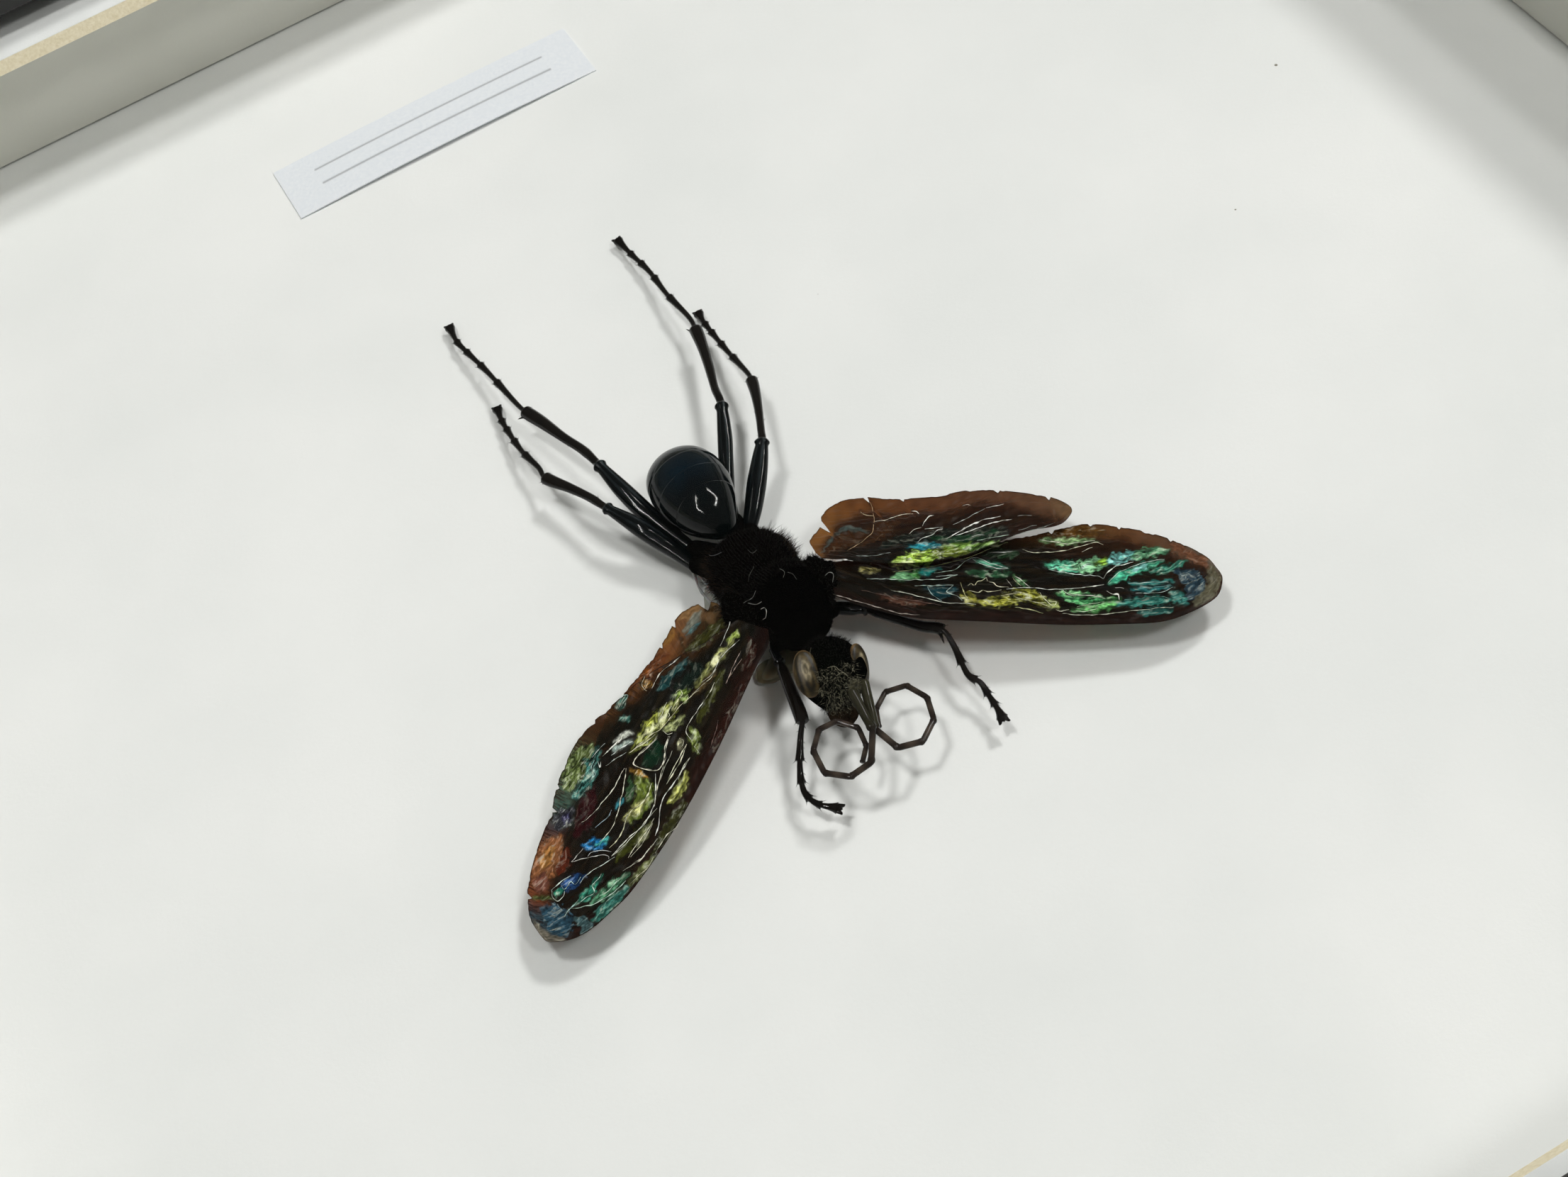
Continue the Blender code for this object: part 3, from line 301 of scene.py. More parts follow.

# Pale ridges by close-up, whose colour is painted highlight of crease edges, veins and glints:
# (colour, half width, [(x, y)])
GLINT_RIDGES = {
    "left_root": [
        ("d8b890", 2.5, [(490, 195), (512, 250), (522, 320), (518, 370), (500, 420), (430, 480), (330, 540)]),
        ("f8f4e0", 4, [(530, 332), (600, 322), (680, 296), (740, 282), (800, 276)]),
        ("fcfcf4", 10, [(790, 262), (825, 262), (848, 285)]),
        ("f4e8c0", 3.5, [(425, 262), (436, 274), (470, 288), (515, 294)]),
        ("fcfcf4", 8, [(866, 366), (886, 328), (912, 298), (948, 288)]),
        ("f4f4e4", 5, [(772, 422), (806, 392), (858, 374)]),
        ("e4ece4", 4.5, [(884, 386), (950, 380), (1016, 372)]),
        ("f4f8f0", 4.5, [(832, 478), (868, 452), (930, 430), (960, 408)]),
        ("fcfcf8", 9, [(948, 412), (978, 394), (1012, 386)]),
        ("a8b4b0", 4, [(395, 575), (480, 577), (560, 570), (640, 555)]),
        ("fcfcf8", 8, [(1040, 452), (1110, 416), (1200, 366), (1300, 322), (1424, 296)]),
        ("fcfcf8", 6.5, [(1105, 432), (1200, 402), (1300, 364), (1400, 334), (1504, 316)]),
        ("f4f8f4", 5, [(1220, 440), (1265, 430), (1312, 428)]),
        ("c8e4d0", 3.5, [(1255, 468), (1350, 450), (1440, 434), (1484, 428)]),
        ("d4dcd8", 3.5, [(1084, 356), (1160, 322), (1250, 272), (1312, 240)]),
        ("fcfcf8", 6, [(1322, 236), (1380, 224), (1446, 211)]),
        ("fcf4e8", 4.5, [(1150, 222), (1190, 211), (1216, 220)]),
        ("f0f4f0", 4.5, [(1352, 553), (1430, 552), (1512, 545)]),
        ("e8d8c0", 4, [(120, 613), (200, 606), (256, 618)]),
        ("f8f8f8", 8, [(236, 604), (300, 605), (374, 613)]),
        ("d8e0a0", 3.5, [(655, 692), (780, 679), (920, 656), (1050, 626), (1180, 596), (1290, 550),
            (1380, 515), (1474, 481)]),
        ("c8dcd0", 3.5, [(470, 741), (640, 744), (760, 751), (900, 746), (1000, 745), (1060, 730),
            (1118, 712)]),
        ("c8e4d4", 4.5, [(950, 700), (1020, 690), (1090, 680), (1130, 652), (1170, 615), (1214, 594)]),
        ("d4e4dc", 3.5, [(962, 726), (1050, 718), (1114, 712)]),
        ("e8ecdc", 3.5, [(640, 822), (760, 846), (900, 880), (1030, 912), (1180, 917), (1248, 922)]),
        ("e8f4ec", 4, [(1212, 590), (1262, 592), (1350, 630), (1482, 668)]),
        ("f4fcf8", 4, [(1225, 600), (1300, 640), (1400, 668), (1478, 664)]),
        ("d8f0e8", 3.5, [(812, 792), (900, 790), (990, 788), (1088, 784)]),
        ("c8ecec", 3.5, [(902, 792), (926, 842), (960, 872), (1004, 898)]),
        ("d8f0e8", 4, [(1086, 788), (1040, 832), (1110, 862), (1152, 896)]),
        ("e8e4a8", 4.5, [(1140, 764), (1150, 802), (1168, 852), (1196, 890)]),
        ("f8f0c8", 3.5, [(1428, 862), (1500, 850), (1570, 838)]),
        ("f0e8c0", 4, [(1508, 728), (1532, 762), (1570, 792)]),
        ("a89c94", 5, [(215, 850), (330, 880), (500, 930), (700, 986), (850, 1002)]),
        ("7c5c50", 3, [(430, 822), (560, 850), (700, 880), (840, 902), (1000, 930)]),
        ("f4f0c8", 4.5, [(1188, 792), (1214, 776), (1236, 790), (1262, 762), (1290, 756), (1322, 732)]),
        ("f8f4d8", 4, [(1322, 732), (1336, 762), (1372, 770), (1402, 796), (1484, 802)]),
        ("f8f4d0", 4, [(1196, 826), (1262, 838), (1300, 822), (1346, 834), (1430, 820)]),
    ],
    "left_tip": [
        ("f4f4d8", 4, [(112, 278), (180, 300), (300, 299), (420, 286), (500, 263), (570, 246), (640, 228),
            (692, 246)]),
        ("f4f4e0", 4, [(540, 296), (580, 276), (614, 266)]),
        ("fcfce8", 3.5, [(240, 212), (330, 222), (430, 238), (540, 226), (630, 216)]),
        ("ecfcf4", 4, [(300, 422), (420, 446), (540, 461), (640, 466), (692, 488)]),
        ("f4fcf4", 5, [(692, 488), (720, 442), (780, 400), (840, 386), (904, 368)]),
        ("ecfcf4", 3, [(722, 518), (790, 452), (870, 412), (960, 380), (1060, 356), (1128, 352)]),
        ("d8f0ec", 3.5, [(868, 523), (1000, 515), (1156, 512)]),
        ("8cd0d0", 2.5, [(900, 556), (1050, 549), (1150, 538)]),
        ("e0f4f0", 4, [(924, 592), (1040, 590), (1120, 580), (1186, 548)]),
        ("f8fcec", 5, [(398, 568), (450, 601), (560, 606), (640, 613), (706, 630)]),
        ("fcfcf4", 8, [(716, 576), (758, 598), (796, 600), (804, 640)]),
        ("fcfcf4", 5, [(776, 552), (810, 550), (838, 556)]),
        ("ecfce0", 4.5, [(478, 716), (560, 722), (652, 702)]),
        ("d8ecc8", 3, [(500, 690), (600, 668), (700, 652)]),
        ("f4f4dc", 5, [(352, 708), (390, 718), (444, 708)]),
        ("e8ecd8", 3.5, [(398, 736), (500, 745), (620, 746), (750, 736), (900, 716), (1020, 706), (1080, 694),
            (1190, 692)]),
        ("f4f4c8", 3.5, [(60, 620), (160, 646), (250, 666), (314, 694)]),
        ("f4f8d0", 4.5, [(238, 588), (282, 642), (334, 684), (352, 650), (306, 660)]),
        ("e8ecb0", 4, [(60, 690), (160, 706), (262, 736)]),
        ("fcfcf4", 4.5, [(58, 466), (112, 502), (164, 548)]),
        ("f8f8ec", 5, [(0, 492), (20, 520), (44, 546)]),
        ("f0f4ec", 3.5, [(0, 562), (100, 551), (180, 553), (300, 562), (420, 560), (500, 556), (600, 546)]),
        ("f8f8f0", 6, [(570, 548), (630, 540), (694, 528)]),
        ("98a098", 3, [(0, 200), (100, 166), (200, 138), (350, 88)]),
        ("c8ccc8", 3.5, [(80, 40), (130, 34), (180, 36)]),
        ("a8b0ac", 5, [(84, 142), (140, 130), (176, 112), (214, 106)]),
        ("7cb4a8", 2.5, [(840, 640), (960, 628), (1080, 614), (1160, 626)]),
    ],
    "right_root": [
        ("f4f4f0", 4.5, [(1092, 42), (1040, 100), (984, 178), (956, 252), (932, 320), (880, 432)]),
        ("f8f8f0", 4.5, [(1046, 378), (960, 452), (880, 540), (842, 616), (800, 682), (720, 742)]),
        ("f4f0d8", 3.5, [(846, 632), (800, 700), (730, 764), (690, 800), (640, 846)]),
        ("fcfcf8", 8, [(540, 520), (482, 570), (434, 608)]),
        ("fcf8ec", 5.5, [(434, 608), (372, 658), (332, 730), (298, 792)]),
        ("f8f0d8", 4.5, [(240, 690), (216, 750), (238, 798), (256, 812)]),
        ("c8e4dc", 3.5, [(20, 880), (62, 850), (96, 850), (70, 900), (40, 950)]),
        ("f0e8c8", 4.5, [(700, 802), (560, 922), (480, 1012), (380, 1132), (300, 1182), (200, 1262),
            (104, 1344)]),
        ("fcfce8", 6, [(396, 1150), (434, 1184), (474, 1170)]),
        ("f8f4e0", 5, [(832, 738), (792, 820), (740, 902), (702, 960)]),
        ("fcfcf4", 8, [(740, 900), (706, 946), (690, 972)]),
        ("f8f8ec", 4.5, [(702, 960), (650, 1032), (602, 1112), (590, 1168), (640, 1232)]),
        ("fcfcf4", 5, [(660, 1280), (680, 1312), (706, 1350)]),
        ("c8b0a4", 4, [(1056, 470), (1010, 562), (970, 652), (930, 748)]),
        ("b8a094", 3.5, [(1064, 540), (1010, 618), (960, 692), (934, 746)]),
        ("7c5c54", 4, [(864, 1060), (852, 1130), (822, 1222), (798, 1296)]),
        ("ecf4c8", 4.5, [(500, 826), (540, 800), (560, 838), (536, 870), (580, 862), (606, 842)]),
        ("fcfce0", 4, [(430, 906), (404, 960), (384, 1010), (352, 1062)]),
        ("fcfce0", 4, [(470, 940), (440, 990), (452, 1020), (420, 1060)]),
        ("f8f4dc", 5, [(346, 1198), (292, 1260), (222, 1318), (164, 1380), (142, 1432)]),
        ("f8f4dc", 5, [(142, 1432), (200, 1466), (320, 1492), (388, 1452), (420, 1382)]),
        ("fcf8e8", 6.5, [(420, 1382), (408, 1300), (440, 1198)]),
        ("e8e8d8", 4, [(474, 1322), (440, 1400), (402, 1480), (372, 1568)]),
        ("f8f4dc", 4.5, [(532, 1216), (566, 1230), (566, 1262), (540, 1300)]),
        ("f4f0d4", 5, [(596, 1264), (560, 1330), (520, 1400), (478, 1480), (436, 1568)]),
        ("f4f4dc", 5.5, [(622, 1376), (590, 1420), (560, 1470), (524, 1568)]),
    ],
    "right_tip": [
        ("fcfcf4", 8, [(506, 124), (560, 74), (616, 24), (650, -10)]),
        ("f4fcf8", 7, [(566, 118), (640, 62), (702, 28)]),
        ("e8f4f0", 4.5, [(440, 130), (482, 82), (524, 40)]),
        ("f4f8f4", 6, [(476, 158), (490, 196), (498, 160)]),
        ("d8e0dc", 4.5, [(530, 182), (590, 142), (664, 98)]),
        ("c8e4e4", 3.5, [(456, 150), (436, 200), (462, 240), (420, 290)]),
        ("f8f4d8", 4, [(684, 102), (740, 62), (806, 20), (850, -20)]),
        ("f8f4e4", 5, [(946, -5), (922, 60), (906, 158), (872, 208), (842, 216)]),
        ("f8f4e4", 4.5, [(842, 216), (762, 202), (708, 172), (740, 120), (800, 70), (862, 8)]),
        ("f4f0dc", 4, [(660, 202), (652, 282), (632, 380), (604, 500), (562, 602), (492, 680)]),
        ("f0ecdc", 4, [(650, 200), (602, 292), (560, 362), (500, 432), (440, 502), (372, 556)]),
        ("fcfcd8", 5.5, [(826, 300), (802, 372), (762, 432), (702, 472), (660, 532)]),
        ("f8f4d0", 4.5, [(660, 532), (640, 602), (602, 672), (548, 722)]),
        ("a8c0d0", 6, [(568, 472), (542, 520), (492, 560), (458, 590)]),
        ("f8f8f0", 4.5, [(852, 238), (852, 340), (842, 440), (782, 562), (702, 632), (640, 692), (566, 774)]),
        ("ece8d4", 3.5, [(906, 180), (872, 300), (852, 400), (846, 450)]),
        ("f4f0d4", 5, [(924, 306), (968, 232), (1002, 182), (1040, 92), (1054, 46)]),
        ("fcfcf4", 5, [(1074, 138), (1022, 222), (962, 312), (912, 382), (890, 432), (880, 502)]),
        ("fcfcf8", 6.5, [(880, 502), (870, 582), (850, 644)]),
        ("f8f4dc", 4, [(842, 528), (802, 602), (742, 682), (672, 784)]),
        ("f4f0d8", 3.5, [(836, 560), (800, 630), (760, 700), (690, 780)]),
        ("e8e8d8", 4, [(862, 462), (800, 532), (742, 602), (690, 660), (630, 720), (566, 776)]),
        ("f0ecdc", 4.5, [(866, 660), (800, 740), (752, 802), (700, 832)]),
        ("d8d8c8", 4, [(786, 770), (740, 800), (700, 832), (640, 870)]),
        ("e8ecf0", 4, [(410, 776), (440, 748), (502, 736), (562, 746)]),
        ("f4f4f4", 4, [(422, 782), (500, 766), (546, 772), (548, 792)]),
        ("f0ece8", 3.5, [(382, 722), (332, 782), (308, 812), (372, 792), (432, 778)]),
        ("ecf8f0", 4, [(586, 780), (540, 810), (470, 850), (400, 900), (360, 950)]),
        ("e0f0e4", 4.5, [(176, 1000), (202, 970), (252, 930), (304, 900)]),
        ("f0f8f0", 4, [(178, 1000), (186, 1040), (216, 1066), (252, 1040), (260, 1000)]),
        ("d0f0e8", 3, [(240, 960), (262, 990), (300, 940), (330, 960), (366, 910)]),
        ("d8f4e8", 4, [(502, 888), (480, 922), (442, 962), (452, 1010), (402, 1042), (346, 1086)]),
        ("d0ecd8", 4.5, [(666, 888), (602, 940), (542, 1002), (488, 1034)]),
        ("d0ecdc", 4.5, [(660, 932), (622, 970), (562, 1022), (462, 1080), (402, 1096), (332, 1112),
            (298, 1112)]),
        ("c8ece8", 5, [(352, 1060), (322, 1092), (280, 1130), (262, 1168)]),
        ("e8e4d0", 4, [(1012, 556), (972, 600), (930, 632), (882, 702), (850, 752)]),
        ("dcd8b8", 3.5, [(840, 780), (800, 850), (730, 912), (690, 950)]),
    ],
    "body_back": [
        ("c8ccc8", 2.2, [(822, 958), (838, 952), (850, 970), (846, 996), (832, 1004)]),
        ("8a8c88", 2, [(745, 930), (785, 905), (800, 875)]),
        ("a8aca8", 2, [(765, 932), (800, 936), (826, 925)]),
        ("9a9c98", 2, [(1115, 805), (1135, 790), (1152, 800), (1150, 835)]),
        ("78807c", 2, [(908, 775), (930, 788), (925, 815)]),
        ("5c6262", 2, [(945, 790), (970, 800), (988, 822)]),
        ("8c9094", 2.5, [(462, 650), (500, 700), (528, 738)]),
        ("6c7074", 2, [(560, 690), (600, 715), (645, 700)]),
        ("9a9c94", 2.5, [(866, 1165), (880, 1138), (928, 1133)]),
        ("50544f", 1.8, [(765, 688), (785, 702), (803, 688)]),
        ("50544f", 1.8, [(792, 762), (775, 800), (766, 832)]),
    ],
    "body_head": [
        ("a8a48c", 2, [(830, 360), (880, 345), (930, 380), (990, 420)]),
        ("a8a48c", 2, [(900, 420), (950, 400), (1010, 440), (1060, 450)]),
        ("8c8a74", 2, [(880, 560), (890, 640), (905, 720)]),
        ("8c8a74", 2, [(930, 540), (950, 620), (955, 700)]),
        ("a09c88", 2, [(960, 590), (985, 650), (990, 710)]),
        ("e4e0d0", 3.5, [(968, 515), (1010, 512), (1050, 535)]),
        ("e4e0d0", 3, [(1000, 555), (1040, 590), (1085, 650)]),
        ("d8d4c0", 2.5, [(1045, 640), (1020, 680), (1000, 700)]),
        ("c8c4b0", 2.5, [(1040, 515), (1080, 505), (1085, 530)]),
        ("c0bca8", 2.5, [(1085, 440), (1120, 450), (1100, 480)]),
        ("8a8672", 2, [(700, 200), (690, 250), (715, 300)]),
    ],
}

# The ground of each wing: its middle, its leading band, and along its trailing margin (place, colour, width)
# The teal, slate and purple grey margin tones are painted sheen; the browns are the film's own colour
GROUNDS = {
    "forewing_left": {
        "middle": "080905", "lead": "1a0f0b", "wrinkle": 0.0,
        "margin": [(0.0, "1a140c", 0.2), (0.45, "241c10", 0.6), (0.60, "54401e", 1.2), (0.75, "5c4028", 1.4),
                   (0.88, "5a4838", 1.8), (0.95, "5a564c", 1.4), (1.0, "6a655a", 1.2)]},
    "hindwing_left": {
        "middle": "070c0a", "lead": "0a0d09", "wrinkle": 0.0,
        "margin": [(0.0, "75502a", 1.2), (0.14, "80582e", 1.8), (0.30, "623f20", 2.6), (0.5, "563823", 2.2),
                   (0.75, "533c2c", 1.6), (0.9, "5c4634", 2.4), (1.0, "6e5a40", 2.4)]},
    "forewing_right": {
        "middle": "10100a", "lead": "180a07", "wrinkle": 0.8,
        "margin": [(0.0, "2a2010", 0.3), (0.30, "6a4424", 1.0), (0.44, "3a2f1c", 1.0), (0.52, "556044", 2.0),
                   (0.64, "466a60", 2.0), (0.70, "4a4448", 1.7), (0.76, "8a5a3a", 2.1), (0.88, "7e462c", 1.9),
                   (0.92, "35505a", 2.2), (0.97, "34505e", 2.4), (1.0, "6e6a5e", 1.6)]},
    "hindwing_right": {
        "middle": "2a2412", "lead": "14120a", "wrinkle": 0.3,
        "margin": [(0.0, "5a4526", 1.0), (0.14, "7c6040", 1.6), (0.28, "785638", 2.4), (0.42, "7c502c", 2.6),
                   (0.7, "6e4426", 2.0), (1.0, "644428", 1.6)]},
}

# Legs, hip to claws: (x, y, height above the board, radius) at every joint and swelling
LEGS = {
    "leg_front_left": [
        (-1.4, 14.4, 2.9, 0.66), (-2.4, 15.3, 3.0, 0.66), (-3.4, 16.3, 3.1, 0.46), (-4.9, 18.9, 3.4, 0.38),
        (-6.3, 21.0, 3.6, 0.42), (-7.5, 22.5, 3.8, 0.42), (-7.6, 24.2, 3.3, 0.36), (-7.2, 27.0, 2.7, 0.34),
        (-7.7, 28.3, 2.5, 0.26), (-7.7, 29.5, 2.2, 0.3), (-7.6, 31.3, 2.1, 0.24), (-7.5, 32.1, 2.0, 0.36)],
    "leg_front_right": [
        (5.5, 14.8, 2.6, 0.4), (5.8, 16.7, 3.0, 0.42), (6.4, 19.7, 3.6, 0.5), (6.9, 22.3, 4.1, 0.52),
        (7.3, 24.0, 4.4, 0.45), (7.6, 24.4, 4.2, 0.25), (8.3, 25.2, 3.6, 0.26), (9.5, 27.1, 3.0, 0.3),
        (10.1, 28.4, 2.7, 0.22), (10.3, 29.5, 2.5, 0.24), (9.9, 30.7, 2.3, 0.28), (8.7, 31.9, 2.1, 0.36)],
    "leg_middle_left": [
        (0.8, 1.4, 2.4, 0.7), (-0.5, 0.0, 3.0, 0.85), (-2.0, -1.8, 3.8, 0.92), (-3.5, -3.6, 4.6, 0.75),
        (-4.4, -4.7, 5.2, 0.52), (-5.0, -6.1, 5.0, 0.34), (-6.0, -8.6, 4.5, 0.36), (-6.9, -11.1, 4.0, 0.42),
        (-7.5, -13.2, 3.6, 0.45), (-7.7, -14.8, 3.2, 0.26), (-7.7, -19.4, 2.1, 0.26),
        (-7.8, -24.4, 1.2, 0.26), (-8.0, -26.5, 0.8, 0.38)],
    "leg_middle_right": [
        (7.0, 1.8, 2.1, 0.6), (7.8, -0.1, 2.8, 0.78), (8.7, -2.0, 3.4, 0.9), (9.6, -3.8, 4.0, 0.85),
        (11.1, -7.1, 4.4, 0.45), (11.8, -9.4, 4.1, 0.38), (12.8, -12.0, 3.6, 0.42), (14.1, -15.0, 3.0, 0.48),
        (14.1, -16.9, 2.7, 0.25), (14.5, -20.6, 2.0, 0.27), (14.4, -25.5, 1.1, 0.25),
        (14.1, -27.7, 0.8, 0.4)],
    "leg_hind_left": [
        (1.2, -1.4, 1.4, 0.55), (0.6, -3.4, 1.7, 0.62), (-0.2, -5.0, 2.4, 0.7), (-1.1, -6.6, 3.2, 0.72),
        (-2.2, -8.6, 4.0, 0.7), (-3.4, -11.2, 4.9, 0.5), (-3.9, -13.6, 4.6, 0.36), (-4.8, -16.7, 4.1, 0.42),
        (-5.6, -19.8, 3.6, 0.46), (-6.2, -22.7, 3.2, 0.5), (-6.5, -25.0, 2.8, 0.26), (-6.3, -29.7, 2.1, 0.26),
        (-6.4, -34.2, 1.5, 0.26), (-6.1, -38.0, 1.0, 0.24), (-5.9, -40.7, 0.8, 0.38)],
    "leg_hind_right": [
        (6.2, -0.4, 1.6, 0.6), (6.9, -2.2, 2.0, 0.75), (7.9, -5.1, 2.8, 0.9), (8.8, -8.2, 4.0, 0.85),
        (9.5, -11.9, 4.8, 0.5), (9.9, -14.6, 4.5, 0.42), (10.7, -17.5, 4.1, 0.42), (11.5, -21.0, 3.5, 0.52),
        (12.2, -23.6, 3.1, 0.5), (12.5, -25.8, 2.7, 0.26), (13.0, -31.7, 1.9, 0.26), (13.6, -36.4, 1.3, 0.26),
        (13.8, -38.3, 1.1, 0.24), (13.6, -40.7, 0.8, 0.4)],
}
# Which station of each leg is the knee, and which the end of the shin
KNEES = {
    "leg_front_left": (2, 5), "leg_middle_left": (4, 8), "leg_hind_left": (5, 9),
    "leg_front_right": (1, 4), "leg_middle_right": (4, 7), "leg_hind_right": (4, 8),
}
# Spurs of the shins: root and tip
SPURS = {
    "leg_front_left": [((-7.2, 22.7, 3.6), (-7.0, 23.6, 3.4))],
    "leg_middle_left": [((-7.5, -12.6, 3.6), (-7.1, -13.2, 3.4))],
    "leg_middle_right": [((14.0, -14.5, 3.0), (14.7, -14.7, 2.8))],
    "leg_hind_left": [((-6.1, -21.3, 3.3), (-5.5, -23.5, 3.0))],
    "leg_hind_right": [((12.2, -22.9, 3.1), (13.2, -23.5, 2.8))],
}
FOOT_RADIUS = 0.32
# Hip joints, leg root to body: places, and the radius at each end
HIPS = [
    ([(6.2, -0.4, 1.6), (5.6, 1.6, 2.6), (4.6, 4.0, 3.4)], 0.8, 1.3),
    ([(7.0, 1.8, 2.1), (6.3, 3.4, 3.0), (5.2, 5.6, 3.6)], 0.8, 1.3),
    ([(1.2, -1.4, 1.4), (1.8, 1.2, 2.4), (2.6, 3.8, 3.4)], 0.7, 1.1),
    ([(0.8, 1.4, 2.4), (1.4, 3.2, 3.0), (2.4, 5.4, 3.6)], 0.8, 1.2),
    ([(-1.4, 14.4, 2.9), (0.2, 14.2, 3.4), (1.6, 14.0, 3.8)], 0.8, 1.2),
    ([(5.5, 14.8, 2.6), (4.6, 14.9, 3.3), (3.6, 15.0, 3.9)], 0.6, 1.0),
]
# Wing roots: middle, half sizes and lean
WING_ROOTS = {
    "wing_root_left": ((-0.7, 13.0, 5.9), (1.8, 2.5, 1.1), -12),
    "wing_root_right": ((6.3, 12.6, 6.0), (1.7, 3.0, 1.3), 12),
}
# Eyes: middle, the way out of the head, the long way, half sizes across, along and deep
EYES = {
    "eye_right": ((4.98, 21.36, 6.3), (0.16, 0.58, 0.80), (-0.25, -0.75, 0.61), (1.16, 2.08, 0.65)),
    "eye_left": ((0.74, 22.6, 5.2), (-0.55, 0.72, 0.42), (-0.15, -0.78, 0.60), (1.15, 2.1, 0.6)),
}
# The socket of the feelers: middle and half sizes
FEELER_BASE = (2.1, 24.6, 5.9)
SOCKET_HALF = (0.45, 0.38, 0.32)
# The lip between the jaws, in the head's own axes
LIP_CENTRE, LIP_HALF = (0.05, 0.65, -3.3), (0.85, 0.45, 0.85)
# Claws: how far each stands out to its side, and their length
CLAW_SPREAD = 0.55
CLAW_LENGTH = 0.5

# Feelers, root to tip: a corner at every joint
ANTENNAE = {
    "antenna_left": [(1.2, 24.4, 5.8), (2.6, 28.6, 4.7), (1.9, 31.1, 4.4), (-0.2, 31.7, 4.3),
                     (-2.1, 30.3, 4.2), (-2.8, 27.9, 4.0), (-2.0, 25.7, 3.8), (-0.2, 25.1, 3.6),
                     (1.3, 26.1, 3.5), (2.0, 27.8, 3.4)],
    "antenna_right": [(2.6, 24.8, 6.0), (2.9, 28.8, 5.2), (4.7, 31.8, 5.6), (6.8, 31.9, 5.4),
                      (8.4, 30.2, 5.2), (8.1, 27.6, 5.0), (6.6, 25.9, 4.8), (4.9, 25.9, 4.6),
                      (3.7, 27.5, 4.5), (4.0, 29.4, 4.4), (5.1, 30.6, 4.3)],
}
ANTENNA_RADIUS = 0.28

# Pools of glue: middle, half sizes and colour
GLUE = {
    "glue_side": ((5.2, 7.6, 0.82), (3.6, 4.6, 0.5), "b8bab2"),
    "glue_front": ((4.1, 15.4, 0.82), (3.0, 1.6, 0.5), "8c8468"),
}
# The round lobe of the front one: middle and half sizes
GLUE_LOBE = ((6.6, 15.3, 0.6), (1.3, 1.3, 0.3))

# Threads of glue beside the body: places and radius
STRANDS = [
    ([(7.1, 1.5, 1.2), (7.7, 4.0, 1.6), (7.6, 7.0, 2.4), (7.0, 8.2, 3.2)], 0.10),
    ([(6.9, 1.5, 1.3), (7.0, 4.1, 1.8), (6.9, 7.4, 2.6), (6.4, 8.4, 3.4)], 0.17),
    ([(7.2, 1.8, 1.0), (7.7, 4.2, 1.3), (7.7, 5.7, 1.6), (7.6, 7.2, 2.0)], 0.08),
]

LABEL_SIZE = (36.0, 8.6)
LABEL_CENTRE = (2.4, -70.6)


def linear(hex_colour):
    """Turns an sRGB hex colour into linear RGB."""
    channels = np.array([int(hex_colour[i:i + 2], 16) for i in (0, 2, 4)]) / 255
    return np.where(channels <= 0.04045, channels / 12.92, ((channels + 0.055) / 1.055) ** 2.4)


def rgba(hex_colour):
    """The same colour with full alpha, as a node socket takes it."""
    return (*(float(c) for c in linear(hex_colour)), 1.0)


def laid_over(colours, tone, share):
    """Colours with a tone laid over them, by a share from 0 to 1 at each place."""
    share = share[..., None]
    return colours * (1 - share) + (linear(tone) if isinstance(tone, str) else tone) * share


def with_rest(shades, tone, count):
    """Colours of a grid's points, then one tone for the points after them, up to a count."""
    grid = shades.reshape(-1, 3)
    return np.vstack([grid, np.broadcast_to(linear(tone), (count - len(grid), 3))])


def bell(value, middle, width):
    """A bell curve: 1 at the middle, falling as exp(-(distance / width)^2)."""
    return np.exp(-((value - middle) / width) ** 2)


def rise(value, start, length):
    """0 up to the start, then straight up to 1 over the length. A negative length runs the other way."""
    return np.clip((value - start) / length, 0, 1)


def soft_step(value, width):
    """1 well below zero and 0 well above it, with an S curve a few widths long between."""
    return 1 / (1 + np.exp(np.clip(value / width, -30, 30)))


def round_ends(share, power, least=0.0004):
    """Closes a form at both ends: the root of 1 - (twice the share less 1)^power."""
    return np.sqrt(np.clip(1 - (2 * share - 1) ** power, least, 1))


def unit(ways):
    """Directions brought to length 1."""
    return ways / np.linalg.norm(ways, axis=-1, keepdims=True)


def spans(line):
    """Lengths between neighbouring places of a line."""
    return np.linalg.norm(np.diff(line, axis=0), axis=1)


def runs(line):
    """Lengths from a line's start to each of its places."""
    return np.concatenate([[0], np.cumsum(spans(line))])


def waves(points, size, seed):
    """Smooth seeded noise from about -1 to 1: a sum of sines in random directions, one bump to each size."""
    count = 24
    draw = np.random.default_rng(seed)
    turn = draw.uniform(0, 2 * math.pi, count)
    step = 2 * math.pi / (size * 2) * draw.uniform(0.6, 1.5, count)[:, None]
    ways = np.column_stack([np.cos(turn), np.sin(turn)]) * step
    shift = draw.uniform(0, 2 * math.pi, count)
    return np.sin(points[..., :2] @ ways.T + shift).sum(-1) / math.sqrt(count)


def waves_along(run, size, seed):
    """The same noise by the length along a line."""
    return waves(np.column_stack([run, run * 0]), size, seed)


